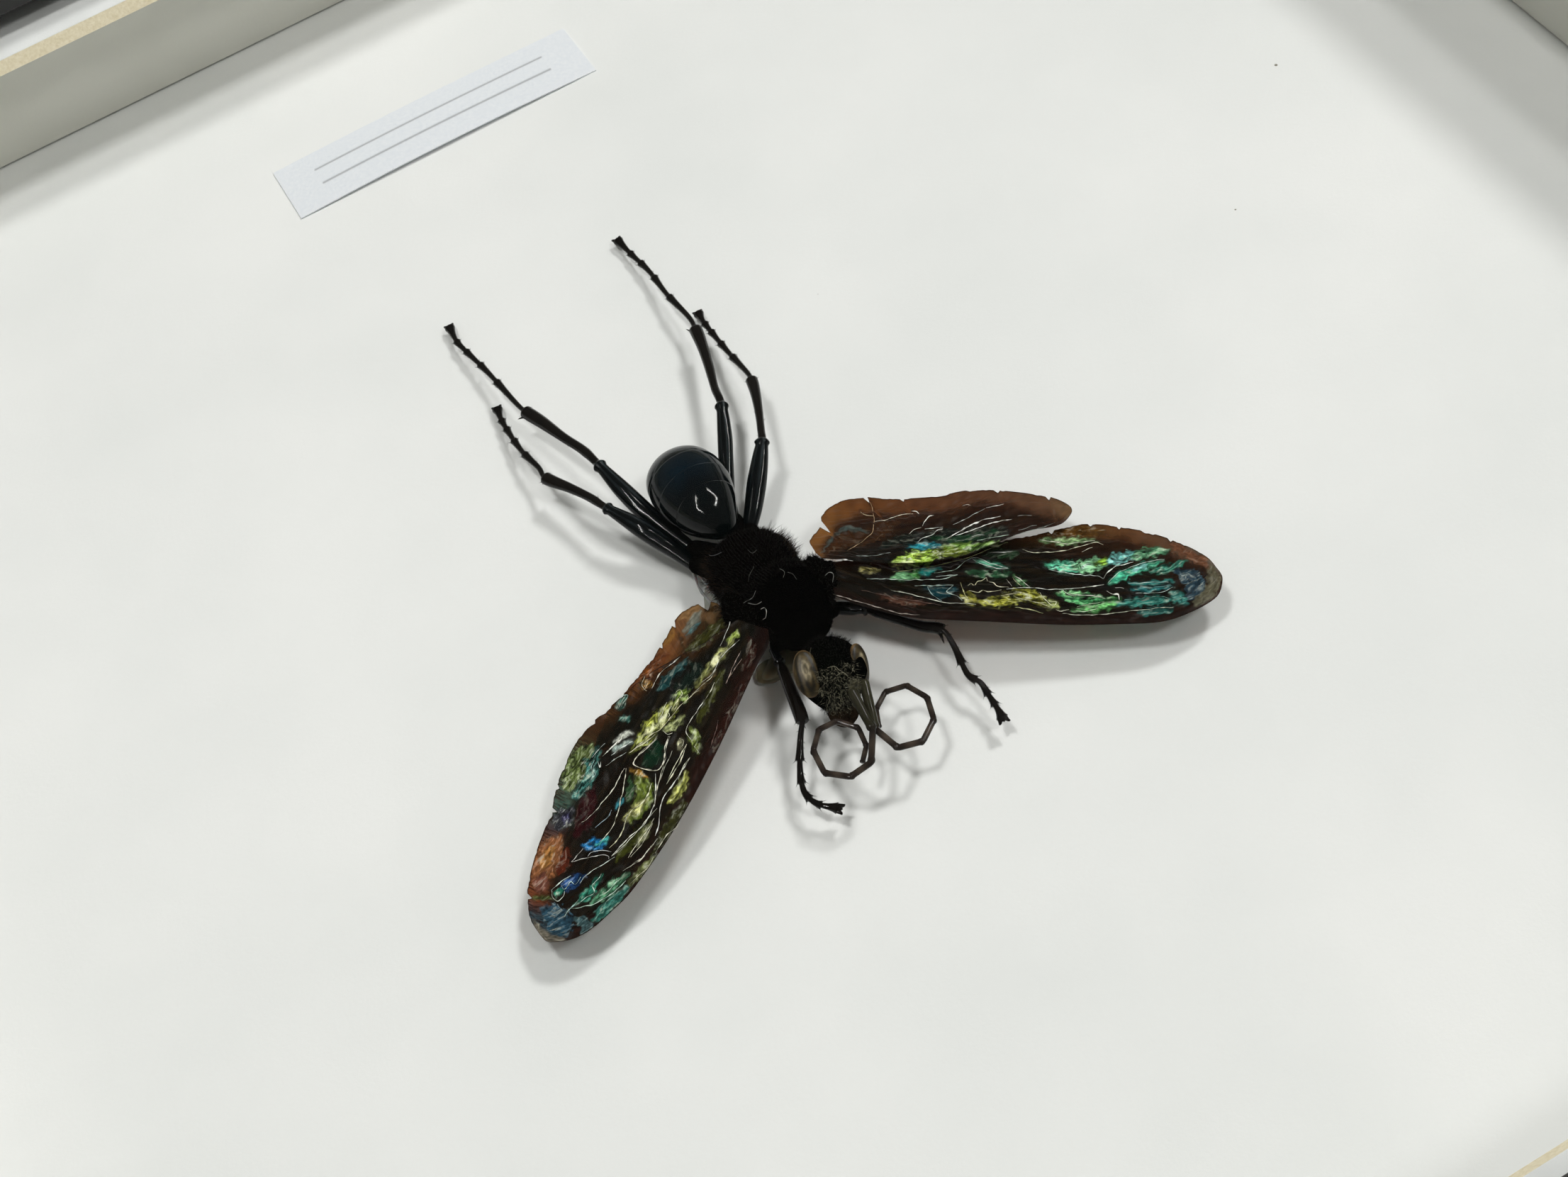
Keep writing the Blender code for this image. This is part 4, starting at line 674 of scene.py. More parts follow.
def smooth_path(stations, places):
    """Reads a Catmull-Rom curve through the stations, at fractions of its length."""
    knots = np.asarray(stations, float)
    padded = np.vstack([2 * knots[0] - knots[1], knots, 2 * knots[-1] - knots[-2]])
    t = np.linspace(0, 1, 20, endpoint=False)[None, :, None]
    a, b, c, d = (padded[i:len(padded) - 3 + i, None] for i in range(4))
    fine = 0.5 * (2 * b + (c - a) * t + (2 * a - 5 * b + 4 * c - d) * t ** 2
                  + (3 * b - a - 3 * c + d) * t ** 3)
    fine = np.vstack([fine.reshape(-1, knots.shape[1]), knots[-1:]])
    length = runs(fine[:, :3])
    at = np.asarray(places) * length[-1]
    return np.column_stack([np.interp(at, length, column) for column in fine.T])


def lifted(points):
    """Turns heights above the backing board into heights in the frame."""
    points = np.array(points, float)
    points[:, 2] += BOARD_TOP
    return points


def around(sides):
    """Angles once round a ring, as a row."""
    return np.arange(sides)[None] * 2 * math.pi / sides


def ball_grid(rows, sides, pole=0.03):
    """Angles of a ball's grid: the tilt from pole to pole as a column, and the turn about them as a row."""
    return np.linspace(pole, math.pi - pole, rows)[:, None], around(sides)


def closed_places(count):
    """Fractions along a body that crowd towards both ends, so that the ends come out round."""
    return (1 - np.cos(np.linspace(0, math.pi, count))) / 2


def ring_frames(path):
    """Unit directions at every place of a path: along it, level across it, and upright to both."""
    along = unit(np.gradient(path, axis=0))
    side = unit(np.cross(along, (0.0, 0.0, 1.0)))
    return along, side, np.cross(side, along)


def tube(path, wide, high, sides, grow=1.0):
    """Rings round a path: each is an ellipse wide across and high upright, scaled by grow at each place."""
    _, side, up = ring_frames(path)
    angle = around(sides)
    return (path[:, None] + side[:, None] * (np.cos(angle) * wide[:, None] * grow)[..., None]
            + up[:, None] * (np.sin(angle) * high[:, None] * grow)[..., None])


def grid_faces(rows, columns):
    """Quads between neighbouring rings of a stack."""
    i, j = np.meshgrid(np.arange(rows - 1), np.arange(columns), indexing="ij")
    after = (j + 1) % columns
    return np.stack([i * columns + j, (i + 1) * columns + j, (i + 1) * columns + after, i * columns + after],
                    axis=-1).reshape(-1, 4)


def capped(rings):
    """Closes a stack of rings: each end ring is a fan onto its own middle."""
    rows, columns = rings.shape[:2]
    points = np.vstack([rings.reshape(-1, 3), rings[0].mean(0), rings[-1].mean(0)])
    j = np.arange(columns)
    after = (j + 1) % columns
    middle, far = np.full(columns, rows * columns), (rows - 1) * columns
    first = np.stack([middle, j, after], -1)
    last = np.stack([middle + 1, far + after, far + j], -1)
    return points, [grid_faces(rows, columns), first, last]


def both_sides(top, bottom=None):
    """Rows of a sheet's top, each followed by its bottom row, or else by the same row, read back."""
    return np.concatenate([top, (top if bottom is None else bottom)[:, ::-1]], axis=1)


def closed_sheet(top, bottom, turned=False):
    """A thin closed sheet from the grids of its top and bottom, with a strip of faces at either end.

    A grid whose columns run the other way round is turned, so that its faces still point outwards.
    """
    rings = both_sides(top, bottom)
    rows, columns = rings.shape[:2]
    j = np.arange(columns // 2 - 1)
    other = columns - 1 - j
    ends = [np.stack([base + j, base + j + 1, base + other - 1, base + other], -1)
            for base in (0, (rows - 1) * columns)]
    faces = [grid_faces(rows, columns), ends[0], ends[1][:, ::-1]]
    return rings.reshape(-1, 3), [group[:, ::-1] for group in faces] if turned else faces


def joined(parts):
    """Puts several (points, faces) into one, with the face numbers moved on."""
    points, faces, base = [], [], 0
    for some, groups in parts:
        points.append(some)
        faces += [g + base for g in groups]
        base += len(some)
    return np.vstack(points), faces


def hairs(roots, ways, lengths, radius, droop, seed):
    """Tapered bristles: three-sided rings at the root and half way, then a tip, all bent by the droop."""
    draw = np.random.default_rng(seed)
    ways = unit(ways)
    side = unit(np.cross(ways, draw.normal(size=ways.shape)))
    up = np.cross(ways, side)
    bend = side * (droop * lengths * draw.uniform(-1, 1, len(roots)))[:, None]
    middle = roots + ways * (lengths * 0.55)[:, None] + bend * 0.3
    tip = roots + ways * lengths[:, None] + bend
    turn = around(3)[..., None]
    spoke = (np.cos(turn) * side[:, None] + np.sin(turn) * up[:, None]) * radius
    points = np.concatenate([roots[:, None] + spoke, middle[:, None] + spoke * 0.65, tip[:, None]], axis=1)
    base = np.arange(len(roots))[:, None, None] * points.shape[1]
    sides = ([(0, 1, 4, 3), (1, 2, 5, 4), (2, 0, 3, 5)], [(3, 4, 6), (4, 5, 6), (5, 3, 6)], [(2, 1, 0)])
    faces = [(np.array(group)[None] + base).reshape(-1, len(group[0])) for group in sides]
    return points.reshape(-1, 3), faces


def piece(name, form, material, stands_for=(), colours=None, values=None, uv=None, angle=None):
    """Makes one smooth mesh, in millimetres, lets it ride on the frame and hides the parts that it replaces.

    Colours are one hex value for all of it, or linear RGB for each point.
    """
    points, faces = form
    mesh = bpy.data.meshes.new(name)
    corners = np.concatenate([f.ravel() for f in faces]).astype(np.int32)
    sizes = np.concatenate([np.full(len(f), f.shape[1]) for f in faces])
    mesh.vertices.add(len(points))
    mesh.vertices.foreach_set("co", (np.asarray(points) * MM).astype(np.float32).ravel())
    mesh.loops.add(len(corners))
    mesh.loops.foreach_set("vertex_index", corners)
    mesh.polygons.add(len(sizes))
    mesh.polygons.foreach_set("loop_start", (np.cumsum(sizes) - sizes).astype(np.int32))
    mesh.update(calc_edges=True)
    mesh.validate()
    if isinstance(colours, str):
        colours = np.broadcast_to(linear(colours), (len(points), 3))
    if colours is not None:
        layer = mesh.attributes.new("tint", "FLOAT_COLOR", "POINT")
        with_alpha = np.column_stack([colours, np.ones(len(points))])
        layer.data.foreach_set("color", with_alpha.astype(np.float32).ravel())
    for key, column in (values or {}).items():
        layer = mesh.attributes.new(key, "FLOAT", "POINT")
        layer.data.foreach_set("value", np.asarray(column, np.float32).ravel())
    if uv is not None:
        layer = mesh.uv_layers.new(name="surface")
        layer.data.foreach_set("uv", np.asarray(uv, np.float32)[corners].ravel())
    mesh.shade_smooth()
    if angle:
        mesh.set_sharp_from_angle(angle=math.radians(angle))
    mesh.materials.append(material)
    thing = bpy.data.objects.new(name, mesh)
    bpy.context.scene.collection.objects.link(thing)
    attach(thing, "root")
    if stands_for:
        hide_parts(*stands_for)


def view_axes():
    """The camera's forward, right and down directions, from its place, its aim and its roll."""
    forward = unit(np.subtract(AIM, EYE))
    right = unit(np.cross(forward, (0, 0, 1)))
    turn = math.radians(ROLL)
    across = right * math.cos(turn) + np.cross(right, forward) * math.sin(turn)
    return forward, across, np.cross(forward, across)


def seen(points):
    """Where points fall in the photograph, in its own pixels, and how far along the view they are."""
    forward, across, down = view_axes()
    ray = np.asarray(points, float) - EYE
    depth = ray @ forward
    flat = np.stack([ray @ across, ray @ down], -1) * (FOCAL / depth)[..., None]
    return flat + np.array(PHOTO_SIZE) / 2, depth


def unseen(places, depth):
    """The point that falls on a pixel of the photograph at a distance along the view."""
    forward, across, down = view_axes()
    flat = (places - np.array(PHOTO_SIZE) / 2) / FOCAL
    return EYE + depth[:, None] * (forward + flat[:, :1] * across + flat[:, 1:] * down)


def of_group(table, group):
    """The lines of a table whose close-ups begin with a word, each after its close-up's name."""
    return [(view, *line) for view in table if view.startswith(group) for line in table[view]]


def close_up_line(view, line, step=4.0):
    """A smooth line through places in a close-up, in the photograph's pixels.

    Half widths, where the places have them, come as a third value.
    """
    left, top, enlargement = CLOSE_UPS[view]
    knots = np.array([(*place, 0.0)[:3] for place in line], float) / enlargement
    knots[:, :2] += (left, top)
    return smooth_path(knots, np.linspace(0, 1, max(4, int(spans(knots[:, :2]).sum() / step))))


def close_to(places, line, reach):
    """Which flat places lie in the box round a line, widened by the reach."""
    line = line[:, :2]
    return ((places > line.min(0) - reach) & (places < line.max(0) + reach)).all(-1)


def beside(places, line):
    """Signed distance from flat places to a line, and the length along it and its third value there."""
    best = np.full(len(places), np.inf)
    run, value, side = np.zeros(len(places)), np.zeros(len(places)), np.ones(len(places))
    steps = np.maximum(spans(line[:, :2]), 1e-6)
    start = np.concatenate([[0], np.cumsum(steps)])
    for a, b, before, step in zip(line, line[1:], start, steps):
        way = b[:2] - a[:2]
        off = places - a[:2]
        share = np.clip(off @ way / step ** 2, 0, 1)
        gap = np.linalg.norm(off - share[:, None] * way, axis=1)
        near = gap < best
        best = np.where(near, gap, best)
        run = np.where(near, before + share * step, run)
        value = np.where(near, a[2] + share * (b[2] - a[2]), value)
        side = np.where(near, np.sign(way[0] * off[:, 1] - way[1] * off[:, 0]), side)
    return best * side, run, value


def plug(tree, node, **inputs):
    """Sets inputs of a node, or links them to a socket or to a node's first output. _0 is input 0."""
    for key, value in inputs.items():
        socket = node.inputs[int(key[1:])] if key[1:].isdigit() else node.inputs[key.replace("_", " ")]
        if isinstance(value, bpy.types.Node):
            value = value.outputs[0]
        if isinstance(value, bpy.types.NodeSocket):
            tree.links.new(value, socket)
        else:
            socket.default_value = rgba(value) if isinstance(value, str) else value


def add(tree, kind, **values):
    """Adds a node. Names in small letters are settings or a ramp's stops, and the others are its inputs."""
    node = tree.nodes.new("ShaderNode" + kind)
    for key in [key for key in values if key.islower()]:
        value = values.pop(key)
        if key != "stops":
            setattr(node, key, value)
            continue
        ramp = node.color_ramp.elements
        while len(ramp) < len(value):
            ramp.new(0.5)
        for stop, (place, colour) in zip(ramp, value):
            stop.position = place
            stop.color = rgba(colour)
    plug(tree, node, **values)
    return node


def grain(size):
    """A texture scale whose features are about this many millimetres across."""
    return 1.0 / (size * MM)


def blank(name):
    """A new material, its tree, its Principled shader and the object's coordinates."""
    material = bpy.data.materials.new(name)
    material.use_nodes = True
    tree = material.node_tree
    place = add(tree, "TexCoord")
    return material, tree, tree.nodes["Principled BSDF"], place.outputs["Object"]


def mottled(tree, pattern, *stops):
    """The mesh's own tint, darkened by the greys that a pattern picks from the stops."""
    tint = add(tree, "Attribute", attribute_name="tint")
    mottle = add(tree, "ValToRGB", stops=stops, Fac=pattern)
    return add(tree, "MixRGB", blend_type="MULTIPLY", Fac=1.0, Color1=tint, Color2=mottle)


def black_lacquered_wood():
    """Satin black lacquer on a planed rail: an uneven black whose open pores still break up the gloss."""
    material, tree, shader, place = blank("black_lacquered_wood")
    wide = add(tree, "TexNoise", Vector=place, Scale=grain(18), Detail=3.0)
    pores = add(tree, "TexNoise", Vector=place, Scale=grain(0.9), Detail=4.0, Roughness=0.6)
    tint = add(tree, "ValToRGB", stops=[(0.3, "0a0908"), (0.7, "141210")], Fac=wide)
    gloss = add(tree, "MapRange", Value=pores, To_Min=0.28, To_Max=0.46)
    bump = add(tree, "Bump", Strength=0.25, Distance=0.2 * MM, Height=pores)
    plug(tree, shader, Base_Color=tint, Roughness=gloss, Normal=bump, Specular_IOR_Level=0.5)
    return material


def coated_picture_glass():
    """Picture glass whose coating takes most of the reflection away, still bright at a glancing angle."""
    material, tree, shader, place = blank("coated_picture_glass")
    smear = add(tree, "TexNoise", Vector=place, Scale=grain(30), Detail=3.0)
    gloss = add(tree, "MapRange", Value=smear, To_Min=0.0, To_Max=0.03)
    facing = add(tree, "LayerWeight", Blend=0.5)
    glancing = add(tree, "Math", operation="POWER", _0=facing.outputs["Facing"], _1=5.0)
    bright = add(tree, "MapRange", Value=glancing, To_Min=0.004, To_Max=0.6)
    clear = add(tree, "BsdfTransparent", Color="fcfcfb")
    mirror = add(tree, "BsdfGlossy", Color="ffffff", Roughness=gloss)
    both = add(tree, "MixShader", _0=bright, _1=clear, _2=mirror)
    tree.nodes.remove(shader)
    plug(tree, tree.nodes["Material Output"], Surface=both)
    return material


def cream_core_mat():
    """Mat board: a matte white face paper, and a cream core where the window is cut on the slope."""
    material, tree, shader, place = blank("cream_core_mat")
    # The core shows below the face paper, as far from the middle as the sloping cut reaches
    face_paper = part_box("window_mat")[1][2] - 0.05 * MM
    past_the_cut = 92.5 * MM
    split = add(tree, "SeparateXYZ", Vector=place)
    across = add(tree, "Math", operation="ABSOLUTE", _0=split.outputs["X"])
    along = add(tree, "Math", operation="ABSOLUTE", _0=split.outputs["Y"])
    reach = add(tree, "Math", operation="MAXIMUM", _0=across, _1=along)
    low = add(tree, "Math", operation="LESS_THAN", _0=split.outputs["Z"], _1=face_paper)
    inside = add(tree, "Math", operation="LESS_THAN", _0=reach, _1=past_the_cut)
    core = add(tree, "Math", operation="MULTIPLY", _0=low, _1=inside)
    fibre = add(tree, "TexNoise", Vector=place, Scale=grain(0.35), Detail=5.0, Roughness=0.7)
    cloud = add(tree, "TexNoise", Vector=place, Scale=grain(7), Detail=2.0)
    face = add(tree, "ValToRGB", stops=[(0.3, "e6e8e8"), (0.7, "f1f3f3")], Fac=cloud)
    pulp = add(tree, "ValToRGB", stops=[(0.3, "dccfae"), (0.7, "f3ead2")], Fac=fibre)
    both = add(tree, "MixRGB", Fac=core, Color1=face, Color2=pulp)
    bump = add(tree, "Bump", Strength=0.35, Distance=0.1 * MM, Height=fibre)
    plug(tree, shader, Base_Color=both, Roughness=0.85, Normal=bump, Specular_IOR_Level=0.2)
    return material


def board_paper(name, light, dark, specks):
    """White facing paper of foam board: faint clouding, a felt-like tooth, and specks of dust if asked."""
    material, tree, shader, place = blank(name)
    cloud = add(tree, "TexNoise", Vector=place, Scale=grain(26), Detail=3.0)
    tone = add(tree, "ValToRGB", stops=[(0.3, dark), (0.7, light)], Fac=cloud)
    tooth = add(tree, "TexNoise", Vector=place, Scale=grain(0.45), Detail=4.0, Roughness=0.65)
    if specks:
        dots = add(tree, "TexVoronoi", Vector=place, Scale=grain(9.0), Randomness=1.0)
        sparse = add(tree, "TexNoise", Vector=place, Scale=grain(11), Detail=1.0)
        size = add(tree, "MapRange", Value=sparse, From_Min=0.5, From_Max=0.75, To_Min=0.0, To_Max=0.025)
        inside = add(tree, "Math", operation="LESS_THAN", _0=dots, _1=size)
        tone = add(tree, "MixRGB", Fac=inside, Color1=tone, Color2="8a877c")
    bump = add(tree, "Bump", Strength=0.22, Distance=0.1 * MM, Height=tooth)
    plug(tree, shader, Base_Color=tone, Roughness=0.8, Normal=bump, Specular_IOR_Level=0.25)
    return material


def pressed_hardboard():
    """Hardboard pressed from wood fibre: a close felt of light and dark brown strands, slightly polished."""
    material, tree, shader, place = blank("pressed_hardboard")
    felt = add(tree, "TexNoise", Vector=place, Scale=grain(1.2), Detail=7.0, Roughness=0.75)
    cloud = add(tree, "TexNoise", Vector=place, Scale=grain(22), Detail=2.0)
    tone = add(tree, "ValToRGB", stops=[(0.3, "4e3520"), (0.55, "7a5838"), (0.75, "9a7650")], Fac=felt)
    shade = add(tree, "MixRGB", blend_type="MULTIPLY", Fac=0.4, Color1=tone, Color2=cloud.outputs["Color"])
    bump = add(tree, "Bump", Strength=0.4, Distance=0.2 * MM, Height=felt)
    plug(tree, shader, Base_Color=shade, Roughness=0.62, Normal=bump)
    return material


def zinc_plated_steel():
    """Bright zinc plate on stamped steel: a cloudy grey metal with fine rolling marks."""
    material, tree, shader, place = blank("zinc_plated_steel")
    stretch = add(tree, "Mapping", Vector=place, Scale=(1.0, 14.0, 1.0))
    marks = add(tree, "TexNoise", Vector=stretch, Scale=grain(2.5), Detail=4.0)
    cloud = add(tree, "TexNoise", Vector=place, Scale=grain(3), Detail=3.0)
    tone = add(tree, "ValToRGB", stops=[(0.3, "8f9296"), (0.7, "c2c4c4")], Fac=cloud)
    gloss = add(tree, "MapRange", Value=marks, To_Min=0.22, To_Max=0.45)
    bump = add(tree, "Bump", Strength=0.2, Distance=0.05 * MM, Height=marks)
    plug(tree, shader, Base_Color=tone, Metallic=1.0, Roughness=gloss, Normal=bump)
    return material


def label_paper():
    """Printer paper, a cool blue white, with the ink of the ruled lines where the mesh asks for it."""
    material, tree, shader, place = blank("label_paper")
    fibre = add(tree, "TexNoise", Vector=place, Scale=grain(0.3), Detail=4.0, Roughness=0.7)
    tone = add(tree, "ValToRGB", stops=[(0.3, "dfe4ec"), (0.7, "eceff4")], Fac=fibre)
    ink = add(tree, "Attribute", attribute_name="ink")
    ruled = add(tree, "MixRGB", Fac=ink.outputs["Fac"], Color1=tone, Color2="2c2c30")
    bump = add(tree, "Bump", Strength=0.2, Distance=0.05 * MM, Height=fibre)
    plug(tree, shader, Base_Color=ruled, Roughness=0.78, Normal=bump, Specular_IOR_Level=0.25)
    return material


def polished_chitin():
    """Wet-looking cuticle: a blue black shell under a thin clear coat, with pin-prick pits."""
    material, tree, shader, place = blank("polished_chitin")
    cloud = add(tree, "TexNoise", Vector=place, Scale=grain(2.2), Detail=2.0)
    pits = add(tree, "TexNoise", Vector=place, Scale=grain(0.12), Detail=3.0)
    tone = mottled(tree, cloud, (0.3, "b0b0b0"), (0.7, "ffffff"))
    gloss = add(tree, "MapRange", Value=pits, To_Min=0.06, To_Max=0.10)
    bump = add(tree, "Bump", Strength=0.10, Distance=0.04 * MM, Height=pits)
    plug(tree, shader, Base_Color=tone, Roughness=gloss, Normal=bump, Specular_IOR_Level=0.14,
         Coat_Weight=0.03, Coat_Roughness=0.04)
    return material


def velvet_chitin():
    """The shell under its pile: soot black and rough, with no shine of its own."""
    material, tree, shader, place = blank("velvet_chitin")
    pile = add(tree, "TexNoise", Vector=place, Scale=grain(0.25), Detail=5.0, Roughness=0.7)
    tone = mottled(tree, pile, (0.35, "707070"), (0.7, "ffffff"))
    bump = add(tree, "Bump", Strength=0.8, Distance=0.2 * MM, Height=pile)
    plug(tree, shader, Base_Color=tone, Roughness=0.85, Normal=bump, Specular_IOR_Level=0.0)
    return material


def insect_hair(name, root, tip):
    """Stiff bristles that vary between a dark and a light tone from place to place, nearly dull."""
    material, tree, shader, place = blank(name)
    vary = add(tree, "TexNoise", Vector=place, Scale=grain(0.22), Detail=1.0)
    tone = add(tree, "ValToRGB", stops=[(0.42, root), (0.66, tip)], Fac=vary)
    plug(tree, shader, Base_Color=tone, Roughness=0.6, Specular_IOR_Level=0.05)
    return material


def dried_eye():
    """A dried compound eye: cloudy tan over a streaky brown rim, with its tiny lenses as a fine pebble."""
    material, tree, shader, place = blank("dried_eye")
    facets = add(tree, "TexVoronoi", Vector=place, Scale=grain(0.09), Randomness=0.2)
    streak = add(tree, "TexNoise", Vector=place, Scale=grain(0.5), Detail=4.0)
    tone = mottled(tree, streak, (0.3, "8c8c8c"), (0.65, "ffffff"))
    bump = add(tree, "Bump", Strength=0.25, Distance=0.04 * MM, Height=facets)
    plug(tree, shader, Base_Color=tone, Roughness=0.32, Normal=bump, Specular_IOR_Level=0.2)
    return material


def wing_film():
    """Dried wing film: smoky chitin whose green, gold and blue sheen, like foil in its folds, is painted.

    Where it lies smooth it lets some amber light through, which warms the shadow under it. The mesh's film
    attribute runs from smooth to crumpled: facets are about half a millimetre across and one long, with
    painted highlights on their tips and painted shade between them. Its wrinkle attribute asks for fine
    folds square to the wing's length, drawn as lines of painted shade.
    """
    material, tree, shader, place = blank("wing_film")
    tint = add(tree, "Attribute", attribute_name="tint")
    film = add(tree, "Attribute", attribute_name="film").outputs["Fac"]
    folded = add(tree, "Attribute", attribute_name="wrinkle").outputs["Fac"]
    where = add(tree, "UVMap", uv_map="surface")
    stretch = add(tree, "Mapping", Vector=where, Scale=(0.55, 1.5, 1.0))
    facets = add(tree, "TexNoise", Vector=stretch, Scale=1.25, Detail=7.0, Roughness=0.70, Distortion=1.0)
    # Painted shade: the crumpled film darkens between its facets
    facet_gap_shade = add(tree, "ValToRGB", stops=[(0.37, "10140c"), (0.45, "808080"), (0.53, "ffffff")], Fac=facets)
    tone = add(tree, "MixRGB", blend_type="MULTIPLY", Fac=film, Color1=tint, Color2=facet_gap_shade)
    # Painted highlight: the facets' tips are lightened towards a pale tint
    tips = add(tree, "MapRange", Value=facets, From_Min=0.53, From_Max=0.66)
    tip_highlight = add(tree, "Math", operation="MULTIPLY", _0=tips, _1=film)
    lit = add(tree, "MixRGB", Fac=0.6, Color1=tint, Color2="f8fce8")
    pale = add(tree, "MixRGB", Fac=tip_highlight, Color1=tone, Color2=lit)
    # Painted shade: fine wrinkle lines darken the film where the mesh asks for wrinkles
    cross = add(tree, "Mapping", Vector=where, Scale=(5.0, 0.7, 1.0))
    lines = add(tree, "TexNoise", Vector=cross, Scale=1.0, Detail=3.0, Distortion=0.5)
    creased = add(tree, "ValToRGB", stops=[(0.42, "6a6a6a"), (0.58, "ffffff")], Fac=lines)
    wrinkled = add(tree, "MixRGB", blend_type="MULTIPLY", Fac=folded, Color1=pale, Color2=creased)
    gloss = add(tree, "MapRange", Value=facets, To_Min=0.22, To_Max=0.42)
    bump = add(tree, "Bump", Strength=0.35, Distance=0.08 * MM, Height=facets)
    plug(tree, shader, Base_Color=wrinkled, Roughness=gloss, Normal=bump, Specular_IOR_Level=0.06)
    clear = add(tree, "BsdfTransparent", Color="f0b084")
    share = add(tree, "MapRange", Value=film, From_Min=0.0, From_Max=0.5, To_Min=0.20, To_Max=0.0)
    both = add(tree, "MixShader", _0=share, _1=shader, _2=clear)
    plug(tree, tree.nodes["Material Output"], Surface=both)
    return material


def glint_ridge_finish():
    """Painted highlight of crease edges, veins and glints on pale ridges: hard, bright, broken on the way."""
    material, tree, shader, place = blank("glint_ridge_finish")
    vary = add(tree, "TexNoise", Vector=place, Scale=grain(0.5), Detail=3.0)
    tone = mottled(tree, vary, (0.36, "848478"), (0.5, "ffffff"))
    plug(tree, shader, Base_Color=tone, Roughness=0.35, Specular_IOR_Level=0.5)
    return material


def hot_melt_glue():
    """Set hot-melt glue: cloudy, faintly yellow, soft-edged and shiny."""
    material, tree, shader, place = blank("hot_melt_glue")
    cloud = add(tree, "TexNoise", Vector=place, Scale=grain(1.4), Detail=3.0)
    tone = mottled(tree, cloud, (0.3, "c8c8c8"), (0.7, "ffffff"))
    bump = add(tree, "Bump", Strength=0.3, Distance=0.2 * MM, Height=cloud)
    plug(tree, shader, Base_Color=tone, Roughness=0.18, Normal=bump, Transmission_Weight=0.30,
         Subsurface_Weight=0.2, Subsurface_Scale=1.0 * MM)
    return material


def pale_floor():
    """The plain pale surface that the box lies on."""
    material, tree, shader, place = blank("pale_floor")
    cloud = add(tree, "TexNoise", Vector=place, Scale=grain(120), Detail=2.0)
    tone = add(tree, "ValToRGB", stops=[(0.3, "d6d6d4"), (0.7, "dededc")], Fac=cloud)
    plug(tree, shader, Base_Color=tone, Roughness=0.7)
    return material


def wing_sheet(values):
    """The wing's middle surface: the chord between the two edge curves, nicked, frayed and pleated.

    Row s runs root to tip and column t from the leading to the trailing edge. The tip closes as a
    superellipse. Height adds a pleat wave sin(2 pi folds t).
    """
    rows, columns = values["grid"]
    length = spans(np.array(values["trail"], float)).sum()
    tip = 1 - TIP_SHARE * (1 - np.sin(np.linspace(0, math.pi / 2, 26)))
    notches = [place + half / length * np.array([-1, -0.6, -0.3, 0, 0.3, 0.6, 1])
               for place, _, half in values["nicks"]]
    s = np.unique(np.concatenate([np.linspace(0, 1 - TIP_SHARE, rows), tip, *notches]))
    front, back = smooth_path(lifted(values["lead"]), s), smooth_path(lifted(values["trail"]), s)
    late = rise(s, 1 - TIP_SHARE, TIP_SHARE)
    pinch = np.clip((1 - late ** 2.4) ** (1 / 2.4), 0.05, 1)[:, None]
    middle = (front + back) / 2
    front, back = middle + (front - middle) * pinch, middle + (back - middle) * pinch
    inward = (front - back) / np.maximum(np.linalg.norm(front - back, axis=1), 0.3)[:, None]
    depth = np.max([deep * np.clip(1 - np.abs(s - place) * length / half, 0, 1) ** 0.8
                    for place, deep, half in values["nicks"]], axis=0)
    fray = 0.05 * waves_along(s * length, 0.35, values["seed"] + 50)
    fray += 0.10 * waves_along(s * length, 1.3, values["seed"] + 51)
    back = back + inward * (depth + np.clip(fray + 0.03, 0, 0.4) * np.clip((1 - s) * 12, 0, 1))[:, None]
    t = np.linspace(0, 1, columns)
    across = t[None, :, None]
    sheet = front[:, None] * (1 - across) + back[:, None] * across
    swell = np.sin(np.clip(s, 0, 1) * math.pi)[:, None] ** 0.6
    sheet[..., 2] += FOLD_HEIGHT * swell * np.sin(t * math.pi * 2 * values["folds"])
    return s, t, sheet


